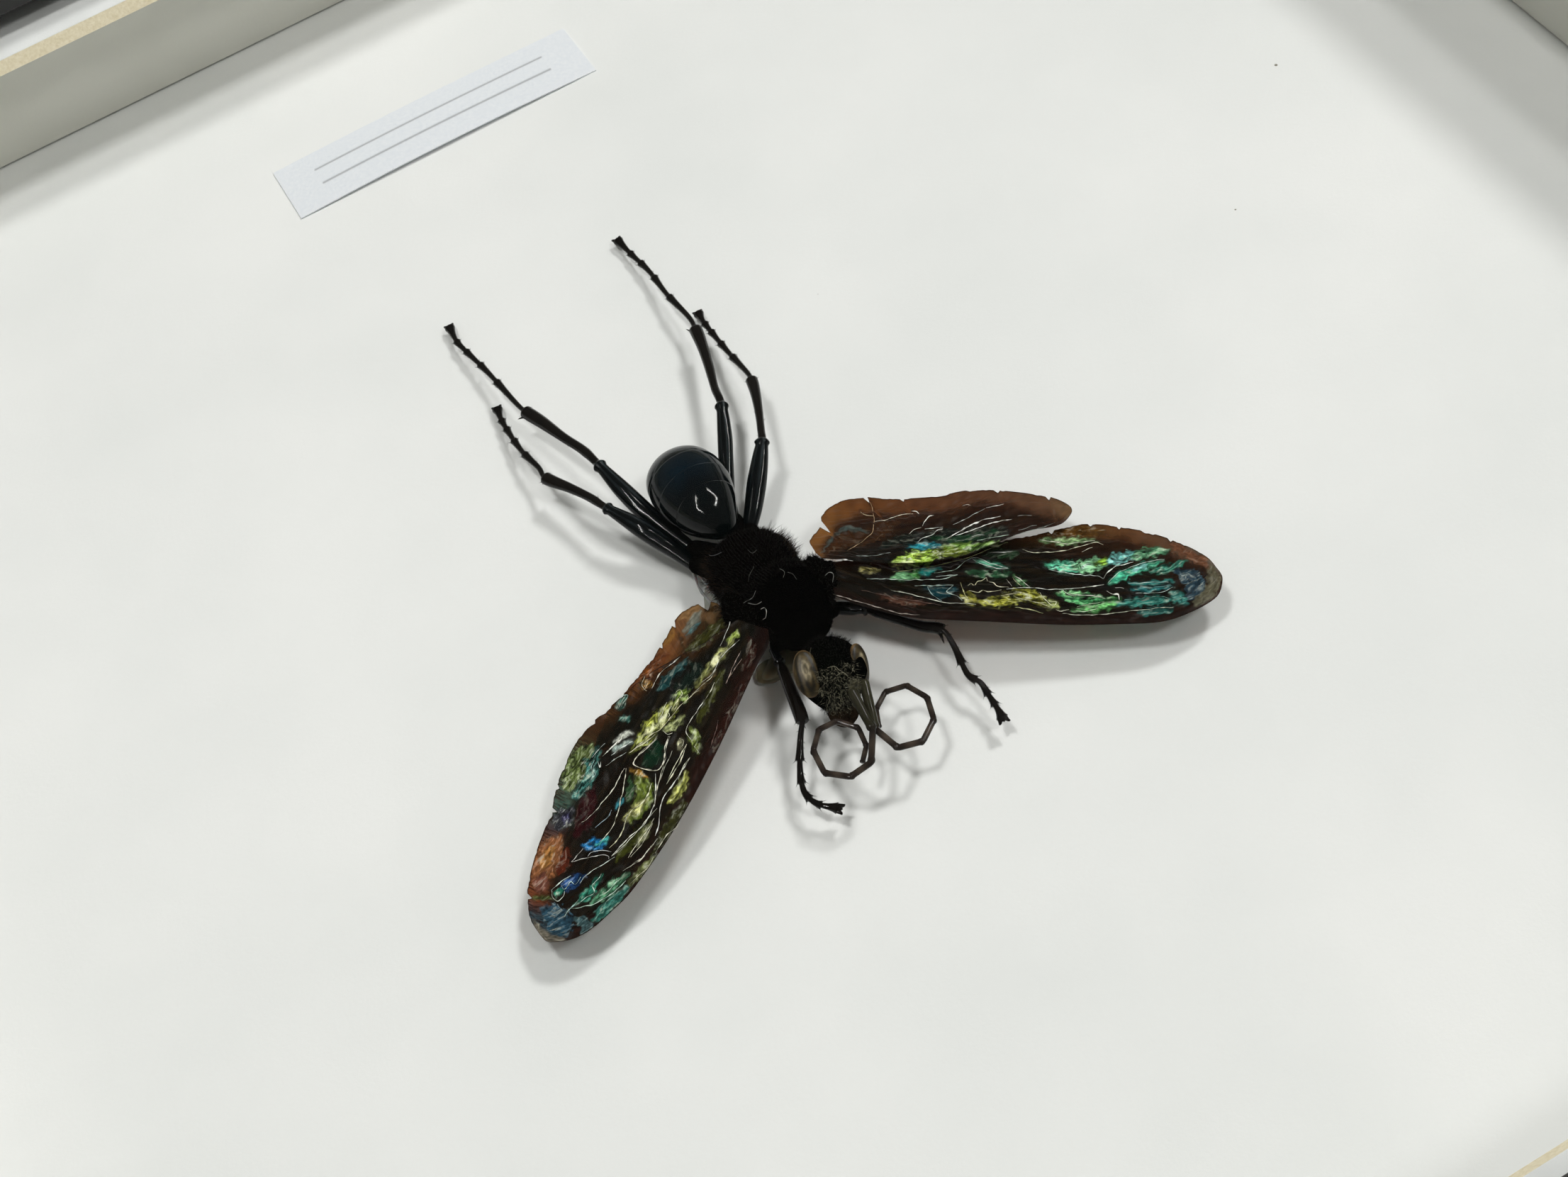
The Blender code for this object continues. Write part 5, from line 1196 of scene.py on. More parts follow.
def paint_wing(name, sheet, lengthwise, width, s, t):
    """Colour and crumple of a wing: the ground, leading band and margin first, then the folds of film.

    A fold's sheen is painted colour. It covers the places that fall nearer to its line in the photograph
    than its half width there, with a crisp ragged edge, painted light and shade in streaks along its run,
    painted highlights on the brightest streaks, and painted shade as a dark line just outside it where it is
    crumpled. Painted shade also runs along each glint ridge.
    """
    ground, seed = GROUNDS[name], WINGS[name]["seed"]
    colour = np.broadcast_to(linear(ground["middle"]), sheet.shape).copy()
    film, wrinkle = np.full(sheet.shape[:2], 0.01), np.zeros(sheet.shape[:2])

    def lay(tone, mask, part=slice(None)):
        """Lays a tone over the colours by a mask from 0 to 1."""
        colour[part] = laid_over(colour[part], tone, mask)

    from_lead, from_trail = t[None] * width[:, None], (1 - t[None]) * width[:, None]
    ragged = 0.22 * waves(sheet, 1.3, seed + 3)
    streaks = waves(lengthwise * (0.12, 1.0), 0.17, seed + 6)
    lay("2a2010", 0.45 * np.clip(waves(lengthwise * (0.10, 1.0), 0.30, seed + 9), 0, 1))
    lay("020303", 0.6 * np.clip(streaks, 0, 1))
    band = np.exp(-(from_lead / (1.4 + ragged)) ** 6)
    lay(ground["lead"], band)
    lay("4a3028", 0.30 * band * np.clip(streaks - 0.5, 0, 1))
    lay("070403", 0.6 * band * np.clip(-streaks, 0, 1))
    places, tones, margins = zip(*ground["margin"])
    edge_tone = np.column_stack([np.interp(s, places, c) for c in np.array([linear(h) for h in tones]).T])
    margin = np.interp(s, places, margins)[:, None] + ragged
    shade = (0.92 + 0.12 * waves(sheet, 0.8, seed + 8))[..., None]
    inside = soft_step(from_trail - margin, 0.28)
    lay(edge_tone[:, None] * shade, inside)
    wrinkle += ground["wrinkle"] * inside

    place, _ = seen(sheet)
    place = place + np.stack([waves(sheet, 0.45, seed + 1), waves(sheet, 0.45, seed + 2)], -1) * 1.5
    fine = waves(sheet, 0.22, seed + 5)
    side = name.split("_")[1]
    for number, (view, tone, crumple, line) in enumerate(of_group(SHEEN_FOLDS, side)):
        line = close_up_line(view, line)
        near = close_to(place, line, line[:, 2].max() + 6)
        if not near.any():
            continue
        gap, run, half = beside(place[near], line)
        length = run.max() + 1e-6
        streak = waves(np.stack([run * 0.10, gap], -1), 1.1, seed + 90 + number)
        crease = waves(np.stack([run * 0.16, gap], -1), 2.6, seed + 60 + number)
        ends = 0.5 + 0.5 * rise(np.minimum(run, length - run), 0, 0.22 * length)
        outside = np.abs(gap) - half * ends * (1 + 0.10 * fine[near] + 0.22 * streak * crumple)
        mask = soft_step(outside, 0.7)
        # Painted shade: a dark line just outside a crumpled fold
        lay("060805", 0.55 * crumple * soft_step(outside - 1.6, 0.8), near)
        # Painted light and shade: the fold's colour brightens and darkens in streaks along its run
        bright = np.clip(1.0 + (0.2 + 0.4 * crumple) * crease + 0.14 * fine[near], 0.12, 1.8)[:, None]
        lay(linear(tone) * bright, mask, near)
        # Painted highlight: near-white where the streaks are brightest
        lay("f2f8e4", mask * crumple * np.clip(0.7 * crease - 0.75, 0, 0.6), near)
        film[near] = film[near] * (1 - mask) + crumple * mask
        wrinkle[near] *= 1 - mask
    # Painted shade: a dark line along each glint ridge
    for view, _, _, line in of_group(GLINT_RIDGES, side):
        line = close_up_line(view, line)
        near = close_to(place, line, 7)
        if near.any():
            gap, _, _ = beside(place[near], line)
            lay("060704", 0.6 * bell(gap, 0, 2.4), near)
    rim = bell(np.minimum(from_lead, from_trail), 0, 0.11)
    rim = np.maximum(rim, bell((1 - s) * 34, 0, 0.10)[:, None])
    lay("140a06", 0.85 * rim)
    return np.clip(colour, 0, 0.95), film * (1 - rim), wrinkle


def wing(name, material):
    """One wing as a thin closed film: a top sheet and the same a little lower, joined round the edge."""
    seed = WINGS[name]["seed"]
    s, t, sheet = wing_sheet(WINGS[name])
    width = np.linalg.norm(sheet[:, -1] - sheet[:, 0], axis=1)
    along = runs(sheet.mean(1))
    lengthwise = np.stack([along[:, None] * np.ones(len(t)), t[None] * width[:, None]], -1)
    colour, film, wrinkle = (both_sides(part) for part in paint_wing(name, sheet, lengthwise, width, s, t))
    crumple = waves(lengthwise * (0.30, 1.0), 0.75, seed)
    crumple += 0.5 * waves(lengthwise * (0.45, 1.0), 0.35, seed + 7)
    inside = rise(np.minimum(t, 1 - t)[None] * width[:, None], 0, 0.5) * rise(s, 0, 0.04)[:, None]
    sheet[..., 2] += CRUMPLE * crumple * inside
    half_thick = MEMBRANE * (0.25 + 0.75 * inside) / 2
    top, bottom = sheet.copy(), sheet.copy()
    top[..., 2] += half_thick
    bottom[..., 2] -= half_thick
    form = closed_sheet(top, bottom, turned=name.endswith("right"))
    piece(name + "_film", form, material, (name,), colour.reshape(-1, 3),
          {"film": film, "wrinkle": wrinkle}, both_sides(lengthwise).reshape(-1, 2))
    return top


def glint_ridges(group, name, surfaces, material, lift):
    """Low ridges, pointed at both ends and broken here and there: painted highlights of crease
    edges, veins and glints.

    Each line is read in a close-up. Every place on it goes down the view until it meets the upper surface,
    as the nearest points of the surfaces give its depth, and it is left out where there is none.
    """
    levels = [seen(points) for points in surfaces]
    # In pixels of the photograph: step along a line, how near a surface point has to be, and how far it pulls
    step, reach, pull = 1.5, 2.6, 1.6
    parts, tints = [], []
    for number, (view, tint, half, line) in enumerate(of_group(GLINT_RIDGES, group)):
        path = close_up_line(view, line, step)[:, :2]
        run = np.linspace(0, len(path) * step, len(path))
        noise = waves_along(run, 6.0, 200 + number)
        path = path + 0.35 * np.column_stack([waves_along(run, 8.0, seed + number) for seed in (300, 400)])
        depth = np.full(len(path), np.inf)
        for spots, far in levels:
            near = close_to(spots, path, 8)
            if not near.any():
                continue
            gap = np.linalg.norm(path[:, None] - spots[near][None], axis=-1)
            weight = bell(gap, 0, pull) + 1e-12
            here = (weight * far[near]).sum(1) / weight.sum(1)
            depth = np.where(gap.min(1) < reach, np.minimum(depth, here), depth)
        held = np.isfinite(depth)
        edges = np.flatnonzero(np.diff(np.concatenate([[False], held, [False]]).astype(int)))
        for first, last in zip(edges[::2], edges[1::2]):
            if last - first < 5:
                continue
            smooth = np.convolve(np.pad(depth[first:last], 2, "edge"), np.ones(5) / 5, "valid")
            share = np.linspace(0, 1, last - first)
            taper = np.clip(np.minimum(share, 1 - share) * (last - first) / 8, 0.10, 1) ** 0.7
            vary = np.clip(0.85 + 0.55 * noise[first:last], 0.15, 1.7)
            wide = 0.7 * half / CLOSE_UPS[view][2] * smooth / FOCAL * taper * vary
            ridge = unseen(path[first:last], smooth)
            ridge[:, 2] += lift
            parts.append(capped(tube(ridge, np.maximum(wide, 0.012), np.clip(wide * 0.6, 0.02, 0.06), 6)))
            tints.append(np.broadcast_to(linear(tint), parts[-1][0].shape))
    piece(name, joined(parts), material, colours=np.vstack(tints))


def towards_camera(rings):
    """The points of a closed form, given as rings, that face the camera."""
    out = rings - rings.mean(1, keepdims=True)
    forward = view_axes()[0]
    return rings[(out @ -forward) > 0.35 * np.linalg.norm(out, axis=-1)]


def wing_root(name, centre, half, lean, skin_material, fur_material):
    """The dark muscle lump that a pair of wings grows from: an uneven ball under short hair."""
    rows, sides, count = 48, 72, 1500
    tilt, turn = ball_grid(rows, sides)
    way = np.stack([np.sin(tilt) * np.cos(turn), np.cos(tilt) + 0 * turn, np.sin(tilt) * np.sin(turn)], -1)
    bumps = 1 + 0.10 * np.sin(way[..., 1] * 7 + 1) * np.cos(way[..., 0] * 4) + 0.05 * waves(way * 3, 0.5, 61)
    form = way * half * bumps[..., None]
    form = form @ np.array(Matrix.Rotation(math.radians(lean), 3, "Z")).T + lifted([centre])[0]
    piece(name, capped(form[:, ::-1]), skin_material, colours="050403")
    draw = np.random.default_rng(62)
    row, column = draw.integers(3, rows - 3, count), draw.integers(0, sides, count)
    ways = way[row, column] + draw.normal(0, 0.4, (count, 3))
    fur = hairs(form[row, column], ways, draw.uniform(0.2, 0.6, count), 0.02, 0.4, 63)
    piece(name + "_fur", fur, fur_material)
    return form


def thorax(skin_material, fur_material, long_material):
    """The thorax: a loft through its stations, with a waist, shoulders and plates, under a short black pile.

    Sparse long brown hairs stand out over the rear part and down its sides.
    """
    s, sides = closed_places(110), 84
    table, place, angle = smooth_path(lifted(THORAX), s), s[:, None], around(sides)
    across = np.abs(np.cos(angle))
    seam = bell(across, 0.42, 0.05) * (np.sin(angle) > 0) * rise(place, 0.5, 0.125)
    grow = 1 - 0.09 * bell(place, 0.47, 0.04) + 0.05 * bell(place, 0.72, 0.09) * across ** 4
    grow = (grow - 0.05 * bell(place, 0.86, 0.015) - 0.02 * seam) * round_ends(place, 24)
    rings = tube(table[:, :3], table[:, 3], table[:, 4], sides, grow)
    front = rise(place, 0.2, 0.5) * np.ones_like(angle)
    colour = laid_over(linear("060403"), "010101", front).reshape(-1, 3)
    piece("thorax_shell", capped(rings), skin_material, ("thorax",),
          np.vstack([colour, linear("060403"), linear("010101")]))

    draw = np.random.default_rng(21)
    outward = rings - table[:, None, :3]
    for name, count, low, high, length, radius, seed, finish in (
            ("thorax_fur", 13000, 0.02, 0.60, 0.40, 0.020, 22, fur_material),
            ("thorax_velvet", 12000, 0.50, 0.98, 0.22, 0.020, 23, skin_material),
            ("thorax_fringe", 700, 0.02, 0.46, 1.15, 0.022, 24, long_material)):
        row = np.searchsorted(s, draw.uniform(low, high, count))
        column = draw.integers(0, sides, count)
        if finish is long_material:
            above = np.where(draw.uniform(size=count) < 0.5, -1, 1)
            column = above * draw.integers(0, sides // 9, count) % sides
            column = np.where(draw.uniform(size=count) < 0.5, column, (sides // 2 - column) % sides)
        out = outward[row, column]
        ways = unit(out) + draw.normal(0, 0.34, out.shape) + (0, -0.35, 0)
        lengths = length * draw.uniform(0.55, 1.25, count)
        coat = hairs(rings[row, column] - out * 0.02, ways, lengths, radius, 0.4, seed)
        piece(name, coat, finish, colours="010101")
    return rings


def abdomen(material):
    """The abdomen: a pear of overlapping plates, each a little wider than the next, with a keel below."""
    near_edges = [np.linspace(edge - 0.02, edge + 0.02, 9) for edge in SEGMENT_EDGES]
    s, sides = np.unique(np.concatenate([closed_places(120), *near_edges])), 96
    table, place, angle = smooth_path(lifted(ABDOMEN), s), s[:, None], around(sides)
    step = sum(0.016 * (place <= edge) for edge in SEGMENT_EDGES)
    keel = 0.04 * bell(np.sin(angle), -1, 0.3)
    grow = (0.975 + step + keel) * round_ends(place, 16)
    rings = tube(table[:, :3], table[:, 3], table[:, 4], sides, grow)
    up = np.clip(np.sin(angle), 0, 1)
    # Painted sheen: a blue tone on the upper side of the middle plates
    blue = bell(place, 0.50, 0.16) * up ** 2
    arc = bell(place, 0.775, 0.012) * np.clip(up + 0.35, 0, 1)
    band = rise(place, 0.78, 0.02) * rise(place, 0.90, -0.05) * np.clip(up + 0.2, 0, 1)
    shell = laid_over(linear("020809"), "041620", blue)
    shell = laid_over(laid_over(shell, "221f18", band), "5c5644", arc)
    form = capped(rings)
    colour = with_rest(shell, "020809", len(form[0]))
    piece("abdomen_plates", form, material, ("abdomen",), colour)
    return rings


def hips(material):
    """The six hip joints under the thorax: short stout tubes that swell towards the body."""
    parts = []
    share = np.linspace(0, 1, 30)
    for line, thin, stout in HIPS:
        radius = (thin + (stout - thin) * share) * round_ends(share, 10, 0.02)
        parts.append(capped(tube(smooth_path(lifted(line), share), radius, radius, 28)))
    piece("hip_joints", joined(parts), material, colours="0a0908")


def head_turn():
    """The rotation that leans the head back and turns it."""
    return np.array(Matrix.Rotation(HEAD_TURN, 3, "Z") @ Matrix.Rotation(HEAD_PITCH, 3, "X"))


def head_form(tilt, turn):
    """Points of the head in its own axes: a lens with bulging sides, narrow below, with the crown at z."""
    x, y, z = np.sin(tilt) * np.cos(turn), np.sin(tilt) * np.sin(turn), np.cos(tilt) + 0 * turn
    eye_bulge = bell(np.abs(x), 0.85, 0.28) * bell(z, 0.15, 0.55) * bell(y, 0.3, 0.7)
    narrow = 1 - 0.34 * np.clip(-z - 0.1, 0, 1)
    face = np.clip(y, 0, 1) ** 2
    brow = 0.14 * bell(np.abs(x), 0.22, 0.12) * bell(z, 0.05, 0.16) * face
    lip = 0.20 * bell(x, 0, 0.35) * bell(z, -0.62, 0.14) * face
    return np.stack([HEAD_HALF[0] * x * narrow + np.sign(x) * 0.3 * eye_bulge,
                     HEAD_HALF[1] * y + 0.2 * eye_bulge + brow + lip, HEAD_HALF[2] * z], axis=-1), (x, y, z)


def set_head(points):
    """Puts points in the head's own axes into the frame."""
    return points @ head_turn().T + np.array(HEAD_CENTRE) + (0, 0, BOARD_TOP)


def eye(name, centre, out, long_way, half, material):
    """A compound eye: a shallow ellipsoid, flat face out, with a swirl of tan inside an olive brown rim."""
    out = unit(np.array(out, float))
    across = unit(np.cross(long_way, out))
    length = np.cross(out, across)
    u, v = ball_grid(56, 80, 0.02)
    edge = np.sin(u) * np.ones_like(v)
    along, over = edge * np.sin(v), edge * np.cos(v)
    shape = (np.cos(u) * np.ones_like(v) * half[2])[..., None] * out
    shape = shape + (over * half[0])[..., None] * across + (along * half[1])[..., None] * length
    off = np.hypot(over / 0.34, (along - 0.18) / 0.46)
    swirl = 0.5 + 0.5 * np.sin(5 * off + 2.0 * np.sin(2 * v + 1) + 4 * along)
    tone = laid_over(linear("1e180c"), "54462a", swirl)
    tone = laid_over(tone, linear("b0a284") * (1 - 0.55 * swirl[..., None]), soft_step(off - 0.95, 0.10))
    tone = laid_over(tone, "6e5636", rise(edge, 0.93, 0.05)).reshape(-1, 3)
    piece(name, capped(shape + lifted([centre])[0]), material,
          colours=np.vstack([tone, linear("b0a284"), linear("1e180c")]))


def jaw(way):
    """The jaw of one side: a tube that bows in to the middle and tapers, wider than it is deep."""
    bow = np.array([(way * 0.95, 0.6, -2.9), (way * 0.85, 1.0, -3.6), (way * 0.25, 1.1, -4.2),
                    (-way * 0.35, 1.0, -4.35)])
    share = np.linspace(0, 1, 30)
    radius = 0.34 * (1 - share) ** 0.6 + 0.03
    return capped(tube(smooth_path(set_head(bow), share), radius * 1.2, radius * 0.8, 20))


def head(shell_material, eye_material, hair_material, dark_hair):
    """The head capsule, its two eyes, the crossed jaws and the tangled olive grey hair of the face."""
    form, (x, y, z) = head_form(*ball_grid(80, 120))
    surface = set_head(form)
    green = np.exp(-((x / 0.5) ** 2 + ((z + 0.1) / 0.5) ** 2)) * np.clip(y, 0, 1)
    capsule = capped(surface)
    colour = with_rest(laid_over(linear("020302"), "0c120a", 0.7 * green), "0a0c0a", len(capsule[0]))
    piece("head_capsule", capsule, shell_material, ("head",), colour)
    for name, values in EYES.items():
        eye(name, *values, eye_material)

    u, v = ball_grid(24, 36)
    ball = np.stack([np.sin(u) * np.cos(v), np.sin(u) * np.sin(v), np.cos(u) + 0 * v], -1)
    lip = capped(set_head(ball * LIP_HALF + LIP_CENTRE))
    piece("jaws", joined([jaw(-1), jaw(1), lip]), shell_material, colours="33261a")

    knob, count = lifted([FEELER_BASE])[0], 260
    socket = capped(ball * SOCKET_HALF * (1 + 0.15 * np.sin(3 * v + 2 * u))[..., None] + knob)
    draw = np.random.default_rng(30)
    ways = draw.normal(0, 1, (count, 3)) + (0, 0.2, 0.6)
    tangle = hairs(knob + unit(ways) * 0.32, ways, draw.uniform(0.25, 0.6, count), 0.020, 0.8, 34)
    piece("feeler_socket", joined([socket, tangle]), eye_material, colours="6e6a54")

    draw = np.random.default_rng(31)
    for name, count, length, radius, seed, finish in (("face_bristles", 620, 0.75, 0.020, 32, hair_material),
                                                      ("head_bristles", 2200, 0.45, 0.018, 33, dark_hair)):
        face = name == "face_bristles"
        pick = draw.uniform(size=(count * 12, 2))
        form, (x, y, z) = head_form(np.arccos(1 - 2 * pick[:, 0]), pick[:, 1] * 2 * math.pi)
        if face:
            keep = (y > 0.3) & (x > -0.68) & (x < 0.5) & (z < 0.28) & (z > -0.9)
        else:
            keep = (np.abs(x) < 0.72) & ((z > 0.3) | (y < 0.3))
        form = form[keep][:count]
        ways = unit(form / np.array(HEAD_HALF) ** 2) + draw.normal(0, 0.55, form.shape)
        if face:
            ways = ways + (0, 0, -0.6)
        lengths = length * draw.uniform(0.5, 1.3, len(form))
        coat = hairs(set_head(form), ways @ head_turn().T, lengths, radius, 0.9 if face else 0.5, seed)
        piece(name, coat, finish, colours="8a8468")
    return surface


def claw(root, tip, radius, side_bow):
    """A curved hook: a tapering tube along a bowed line."""
    root, tip = np.asarray(root, float), np.asarray(tip, float)
    share = np.linspace(0, 1, 12)[:, None]
    line = root * (1 - share) + tip * share + np.sin(share * math.pi) * side_bow
    width = radius * (1 - share[:, 0]) ** 0.7 + 0.02
    return capped(tube(line, width, width, 10))


def leg(name, material):
    """A leg: a tube through its stations, with a flared collar at the knee and a step down to the shin.

    The shin thickens to its end and stops short there. The foot is split in five joints: each is thin at
    its root and widens to a spiny end, and the last one is a bell that holds the claws.
    """
    stations = lifted(LEGS[name])
    knee, shin = KNEES[name]
    count, sides = 420, 28
    s = np.linspace(0, 1, count)
    table = smooth_path(stations, s)
    path = table[:, :3]
    reach = runs(stations[:, :3])
    knee_at, shin_at = reach[knee] / reach[-1], reach[shin] / reach[-1]
    joints = shin_at + (1 - shin_at) * np.array([0.36, 0.57, 0.74, 0.86])
    shape = 1 + 0.34 * bell(s, knee_at - 0.006, 0.006)
    shape -= 0.36 * rise(s, knee_at, 0.003) * rise(s, knee_at + 0.05, -0.05)
    shape += (0.10 + 0.22 * rise(s, knee_at, shin_at - knee_at) ** 3) * (s <= shin_at) * (s > knee_at)
    for a, b in zip([shin_at, *joints], [*joints, 1.0]):
        share = rise(s, a, b - a)
        flare = 0.35 * share ** 2 if b == 1.0 else 0
        shape = np.where((s > a) & (s <= b), 0.72 + 0.28 * share + 0.32 * share ** 5 + flare, shape)
    wide = np.where(s > shin_at, FOOT_RADIUS, table[:, 3]) * shape
    angle = around(sides)
    thigh = rise(s, knee_at, -0.03)[:, None]
    ridge = 1 - 0.08 * thigh * bell(angle, 1.2, 0.28) - 0.06 * thigh * bell(angle, 2.1, 0.2)
    parts = [capped(tube(path, wide, wide * 0.95, sides, ridge))]

    draw = np.random.default_rng(40 + knee + len(name))
    along, side, up = ring_frames(path)
    end, ahead = path[-1], along[-1]
    for way in (-1, 1):
        root = end + side[-1] * way * wide[-1] * 0.4
        parts.append(claw(root, end + ahead * CLAW_LENGTH + side[-1] * way * CLAW_SPREAD, 0.22, ahead * 0.2))
    parts.append(claw(end + ahead * 0.1, end + ahead * 0.5, 0.30, up[-1] * 0.05))
    for spur in SPURS.get(name, []):
        parts.append(claw(*lifted(spur), 0.15, (0, 0, 0.08)))

    spots, ways, lengths = [], [], []
    for at in (shin_at, *joints):
        row = int(at * (count - 1)) - 1
        for way in (-1, 1):
            spots.append(path[row] + side[row] * way * wide[row] * 0.8)
            ways.append(side[row] * way * 0.8 + along[row] * 0.9)
            lengths.append(0.46)
    for at in np.linspace(knee_at + 0.03, joints[-1], 34):
        row = int(at * (count - 1))
        turn = draw.uniform(0, 2 * math.pi)
        out = side[row] * math.cos(turn) + up[row] * math.sin(turn)
        spots.append(path[row] + out * wide[row] * 0.8)
        ways.append(out * 0.8 + along[row] * 0.8)
        lengths.append(draw.uniform(0.18, 0.42))
    parts.append(hairs(np.array(spots), np.array(ways), np.array(lengths), 0.035, 0.2, 41))
    form = joined(parts)

    glossy = rise(s, knee_at + 0.004, -0.008)[:, None]
    # Painted highlight: two pale lines along the thigh, where its gloss catches the light
    glint = (bell(angle, 1.2, 0.08) + bell(angle, 2.1, 0.06)) * glossy
    glint = glint * np.clip(s / knee_at * 1.3 - 0.3, 0, 1)[:, None]
    shade = laid_over(laid_over(linear("110d0a"), "03080a", glossy), "8a9aa0", 0.45 * glint)
    piece(name + "_shell", form, material, (name,), with_rest(shade, "110d0a", len(form[0])))


def antenna(name, material):
    """A feeler: a stout pale first joint, then straight ones, each with a small collar and a sharp elbow."""
    corners = lifted(ANTENNAE[name])
    rows, sides = 26, 20
    share = np.linspace(0.02, 0.98, rows)
    path = np.vstack([here + (after - here) * share[:, None] for here, after in zip(corners, corners[1:])])
    grow = np.tile(1.0 + 0.20 * bell(share, 0.93, 0.05) - 0.12 * bell(share, 0.02, 0.03), len(corners) - 1)
    grow[:rows] += 0.55 - 0.25 * share
    radius = ANTENNA_RADIUS * np.linspace(1.08, 0.80, len(path)) * grow
    form = capped(tube(path, radius, radius, sides))
    place = np.linspace(0, 1, len(path))[:, None]
    step = (np.arange(len(path)) % rows / (rows - 1))[:, None]
    # Painted highlight: each joint is lighter towards its middle
    tone = laid_over(linear("2a221e"), "4a4038", bell(step, 0.5, 0.25))
    tone = laid_over(tone, "3a3828", rise(place, 1.05 / (len(corners) - 1), -0.02))
    colour = with_rest(np.repeat(tone, sides, axis=1), "2a221e", len(form[0]))
    piece(name + "_joints", form, material, (name,), colour)


def glue_form(centre, half):
    """A low pool of glue: an ellipsoid whose outline swells by two sines and whose top has shallow dents."""
    tilt, turn = ball_grid(40, 90, 0.02)
    wobble = 1 + (0.10 * np.sin(3 * turn + 1.0) + 0.06 * np.sin(5 * turn)) * min(1, half[0] / 3)
    across, along = half[0] * np.sin(tilt) * np.cos(turn), half[1] * np.sin(tilt) * np.sin(turn)
    form = np.stack([across * wobble, along * wobble, half[2] * np.cos(tilt) * np.ones_like(turn)], -1)
    form[..., 2] *= 1 + 0.18 * waves(form, 1.4, 51)
    return capped(form + lifted([centre])[0])


def glue_blob(name, centre, half, tone, material):
    """A pool of glue. The one in front has a round lobe that shows beside the leg."""
    parts = [glue_form(centre, half)]
    if name == "glue_front":
        parts.append(glue_form(*GLUE_LOBE))
    piece(name + "_pool", joined(parts), material, (name,), tone)


def glue_strands(material):
    """Threads of glue pulled up from the pool to the body: thin in the middle, with a foot at each end."""
    parts = []
    share = np.linspace(0, 1, 40)
    for line, radius in STRANDS:
        swell = 1 + 1.6 * (2 * share - 1) ** 4 + 0.25 * np.sin(share * 17)
        width = radius * swell * round_ends(share, 20, 0.02)
        parts.append(capped(tube(smooth_path(lifted(line), share), width, width, 14)))
    piece("glue_strands", joined(parts), material, colours="c0c4c4")


def label(material):
    """The paper label: a thin sheet that bows up a little along its length, with two plain ruled lines."""
    u, v = np.meshgrid(np.linspace(-1, 1, 240), np.linspace(-1, 1, 60), indexing="ij")
    x, y = LABEL_CENTRE[0] + u * LABEL_SIZE[0] / 2, LABEL_CENTRE[1] + v * LABEL_SIZE[1] / 2
    bow = 0.32 * (1 - u ** 2) * (0.7 + 0.3 * v) + 0.05 * np.sin(2.2 * u + 1.0)
    under = BOARD_TOP + 0.05 + bow
    top = np.stack([x, y, under + 0.12], -1)
    bottom = np.stack([x, y, np.maximum(under, BOARD_TOP + 0.02)], -1)
    ink = np.clip((bell(v, 0.22, 0.035) + bell(v, -0.36, 0.030)) * (np.abs(u) < 0.78), 0, 1) * 0.55
    piece("paper_label", closed_sheet(top, bottom), material, ("label",),
          values={"ink": both_sides(ink, np.zeros_like(ink))}, angle=40)


def dress(node, material):
    """Gives a node of the box its finish."""
    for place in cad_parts[node].material_slots:
        place.material = material


def box_finishes():
    """Finishes of everything in the box that keeps its solid."""
    # Painted shade: the walls get a darker copy of the backing's white paper
    wood, paper = black_lacquered_wood(), board_paper("shaded_foam_board_wall", "d8d8d0", "cfcfc6", False)
    steel = zinc_plated_steel()
    for side in ("bottom", "top", "left", "right"):
        dress("rail_" + side, wood)
        dress("spacer_" + side, paper)
    dress("glass_pane", coated_picture_glass())
    dress("window_mat", cream_core_mat())
    dress("backing_board", board_paper("foam_board_backing", "f0f1f1", "e8eaea", True))
    dress("back_panel", pressed_hardboard())
    dress("sawtooth_hanger", steel)
    for number in range(1, 9):
        dress(f"panel_point_{number}", steel)


def wasp():
    """The insect, its glue and its label."""
    chitin, velvet, film = polished_chitin(), velvet_chitin(), wing_film()
    fur = insect_hair("black_fur", "030202", "0c0806")
    fringe = insect_hair("brown_hair", "100b07", "382a1e")
    pale = insect_hair("olive_bristle", "060605", "a8a48c")
    dark = insect_hair("dark_bristle", "040403", "12100c")
    forms = [thorax(velvet, fur, fringe), abdomen(chitin), head(velvet, dried_eye(), pale, dark)]
    hips(velvet)
    for name, values in WING_ROOTS.items():
        forms.append(wing_root(name, *values, velvet, fur))
    # Painted highlights: pale ridges along crease edges and veins of the wings, and glints on the body
    edges = glint_ridge_finish()
    sheets = {name: wing(name, film) for name in WINGS}
    for side in ("left", "right"):
        tops = [sheet[::2, ::2].reshape(-1, 3) for name, sheet in sheets.items() if name.endswith(side)]
        glint_ridges(side, "wing_glint_ridges_" + side, tops, edges, 0.03)
    glint_ridges("body", "body_glints", [towards_camera(form) for form in forms], edges, 0.25)
    for name in LEGS:
        leg(name, chitin)
    for name in ANTENNAE:
        antenna(name, chitin)
    glue = hot_melt_glue()
    for name, values in GLUE.items():
        glue_blob(name, *values, glue)
    glue_strands(glue)
    label(label_paper())


def placed(name, data):
    """An object of the scene made from its data."""
    thing = bpy.data.objects.new(name, data)
    bpy.context.scene.collection.objects.link(thing)
    return thing


def floor():
    """A wide pale surface just under the rails."""
    mesh = bpy.data.meshes.new("floor")
    reach, low = 3.0, (RAIL_BACK - 0.2) * MM
    mesh.from_pydata([(x * reach, y * reach, low) for x, y in ((-1, -1), (1, -1), (1, 1), (-1, 1))], [],
                     [(0, 1, 2, 3)])
    mesh.materials.append(pale_floor())
    placed("floor", mesh)


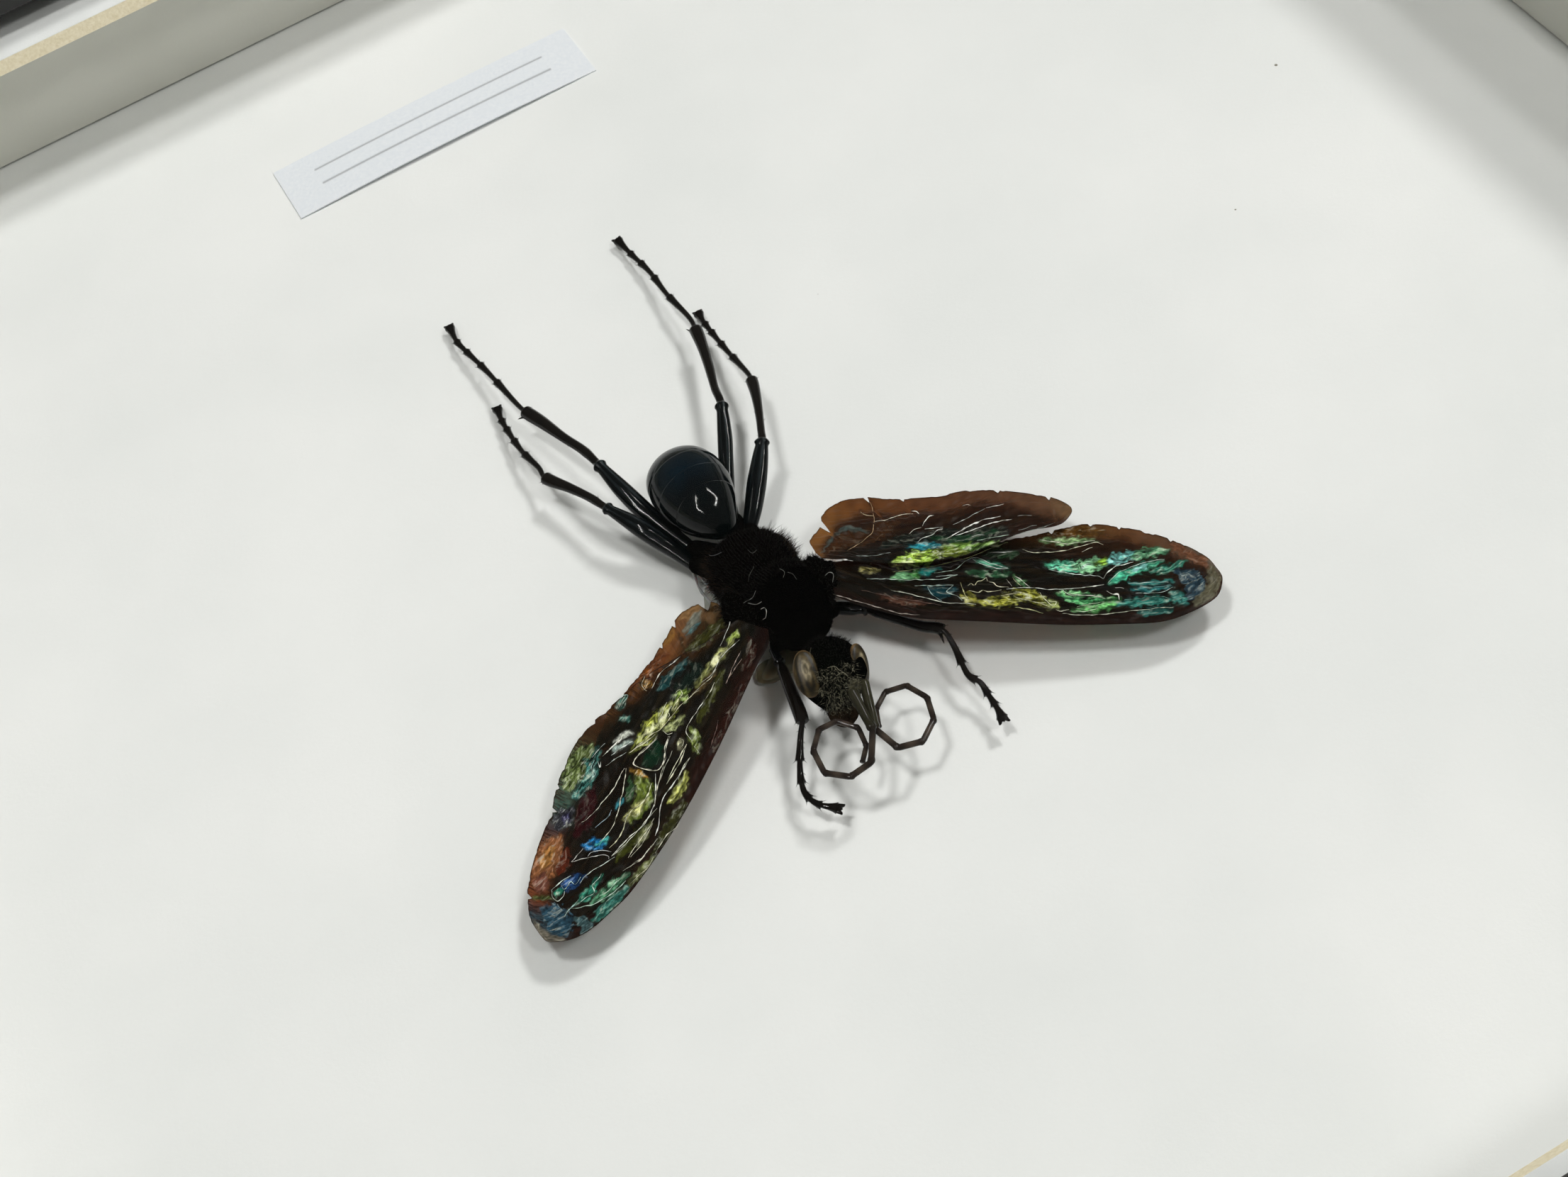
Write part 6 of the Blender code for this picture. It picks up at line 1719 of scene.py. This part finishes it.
def aim(thing, eye_place, target, roll=0.0):
    """Points a light or a camera from one place at another, turned about its own axis by the roll."""
    forward = (Vector(target) - Vector(eye_place)).normalized()
    right = forward.cross(Vector((0, 0, 1))).normalized()
    up = right.cross(forward)
    turn = math.radians(roll)
    across = right * math.cos(turn) + up * math.sin(turn)
    columns = Matrix((across, across.cross(forward), -forward)).transposed()
    thing.matrix_world = Matrix.Translation(eye_place) @ columns.to_4x4()


def camera():
    """The photograph's view: from above the wasp's head, looking down at the label end."""
    data = bpy.data.cameras.new("camera")
    data.lens, data.sensor_width, data.sensor_fit = LENS, SENSOR, "HORIZONTAL"
    data.clip_start, data.clip_end = 0.01, 20.0
    thing = placed("camera", data)
    aim(thing, [c * MM for c in EYE], [c * MM for c in AIM], ROLL)
    bpy.context.scene.camera = thing


def lamp(name, way, far, size, power, roll=0.0):
    """A soft rectangular light in one direction from the wasp."""
    data = bpy.data.lights.new(name, "AREA")
    data.shape, (data.size, data.size_y) = "RECTANGLE", size
    data.energy = power
    thing = placed(name, data)
    target = Vector((0.0, 0.0, BOARD_TOP * MM))
    aim(thing, target + Vector(way).normalized() * far, target, roll)
    return thing


def strip(name, start, end):
    """A long narrow light that spans two directions from the wasp and shows only in what is glossy."""
    way, along = Vector(start) + Vector(end), Vector(end) - Vector(start)
    forward = -way.normalized()
    right = forward.cross(Vector((0, 0, 1))).normalized()
    roll = math.degrees(math.atan2(along.dot(right.cross(forward)), along.dot(right)))
    long = along.length * STRIP_FAR
    lamp(name, way, STRIP_FAR, (long, STRIP_WIDTH), STRIP_POWER * long, roll).visible_diffuse = False


def lighting():
    """A pale surround and soft lamps above the box, with narrow ones for the gloss of the shell."""
    world = bpy.data.worlds.new("studio")
    world.use_nodes = True
    plug(world.node_tree, world.node_tree.nodes["Background"], Color="ebebe6", Strength=0.28)
    bpy.context.scene.world = world
    for name, (way, far, power) in LAMPS.items():
        lamp(name, way, far, (LAMP_SPREAD * far, LAMP_SPREAD * far), power).visible_glossy = False
    for number, (start, end) in enumerate(STRIPS):
        strip(f"strip_{number}", start, end)
    bpy.context.scene.view_settings.view_transform = "Standard"


camera()
floor()
lighting()
box_finishes()
wasp()
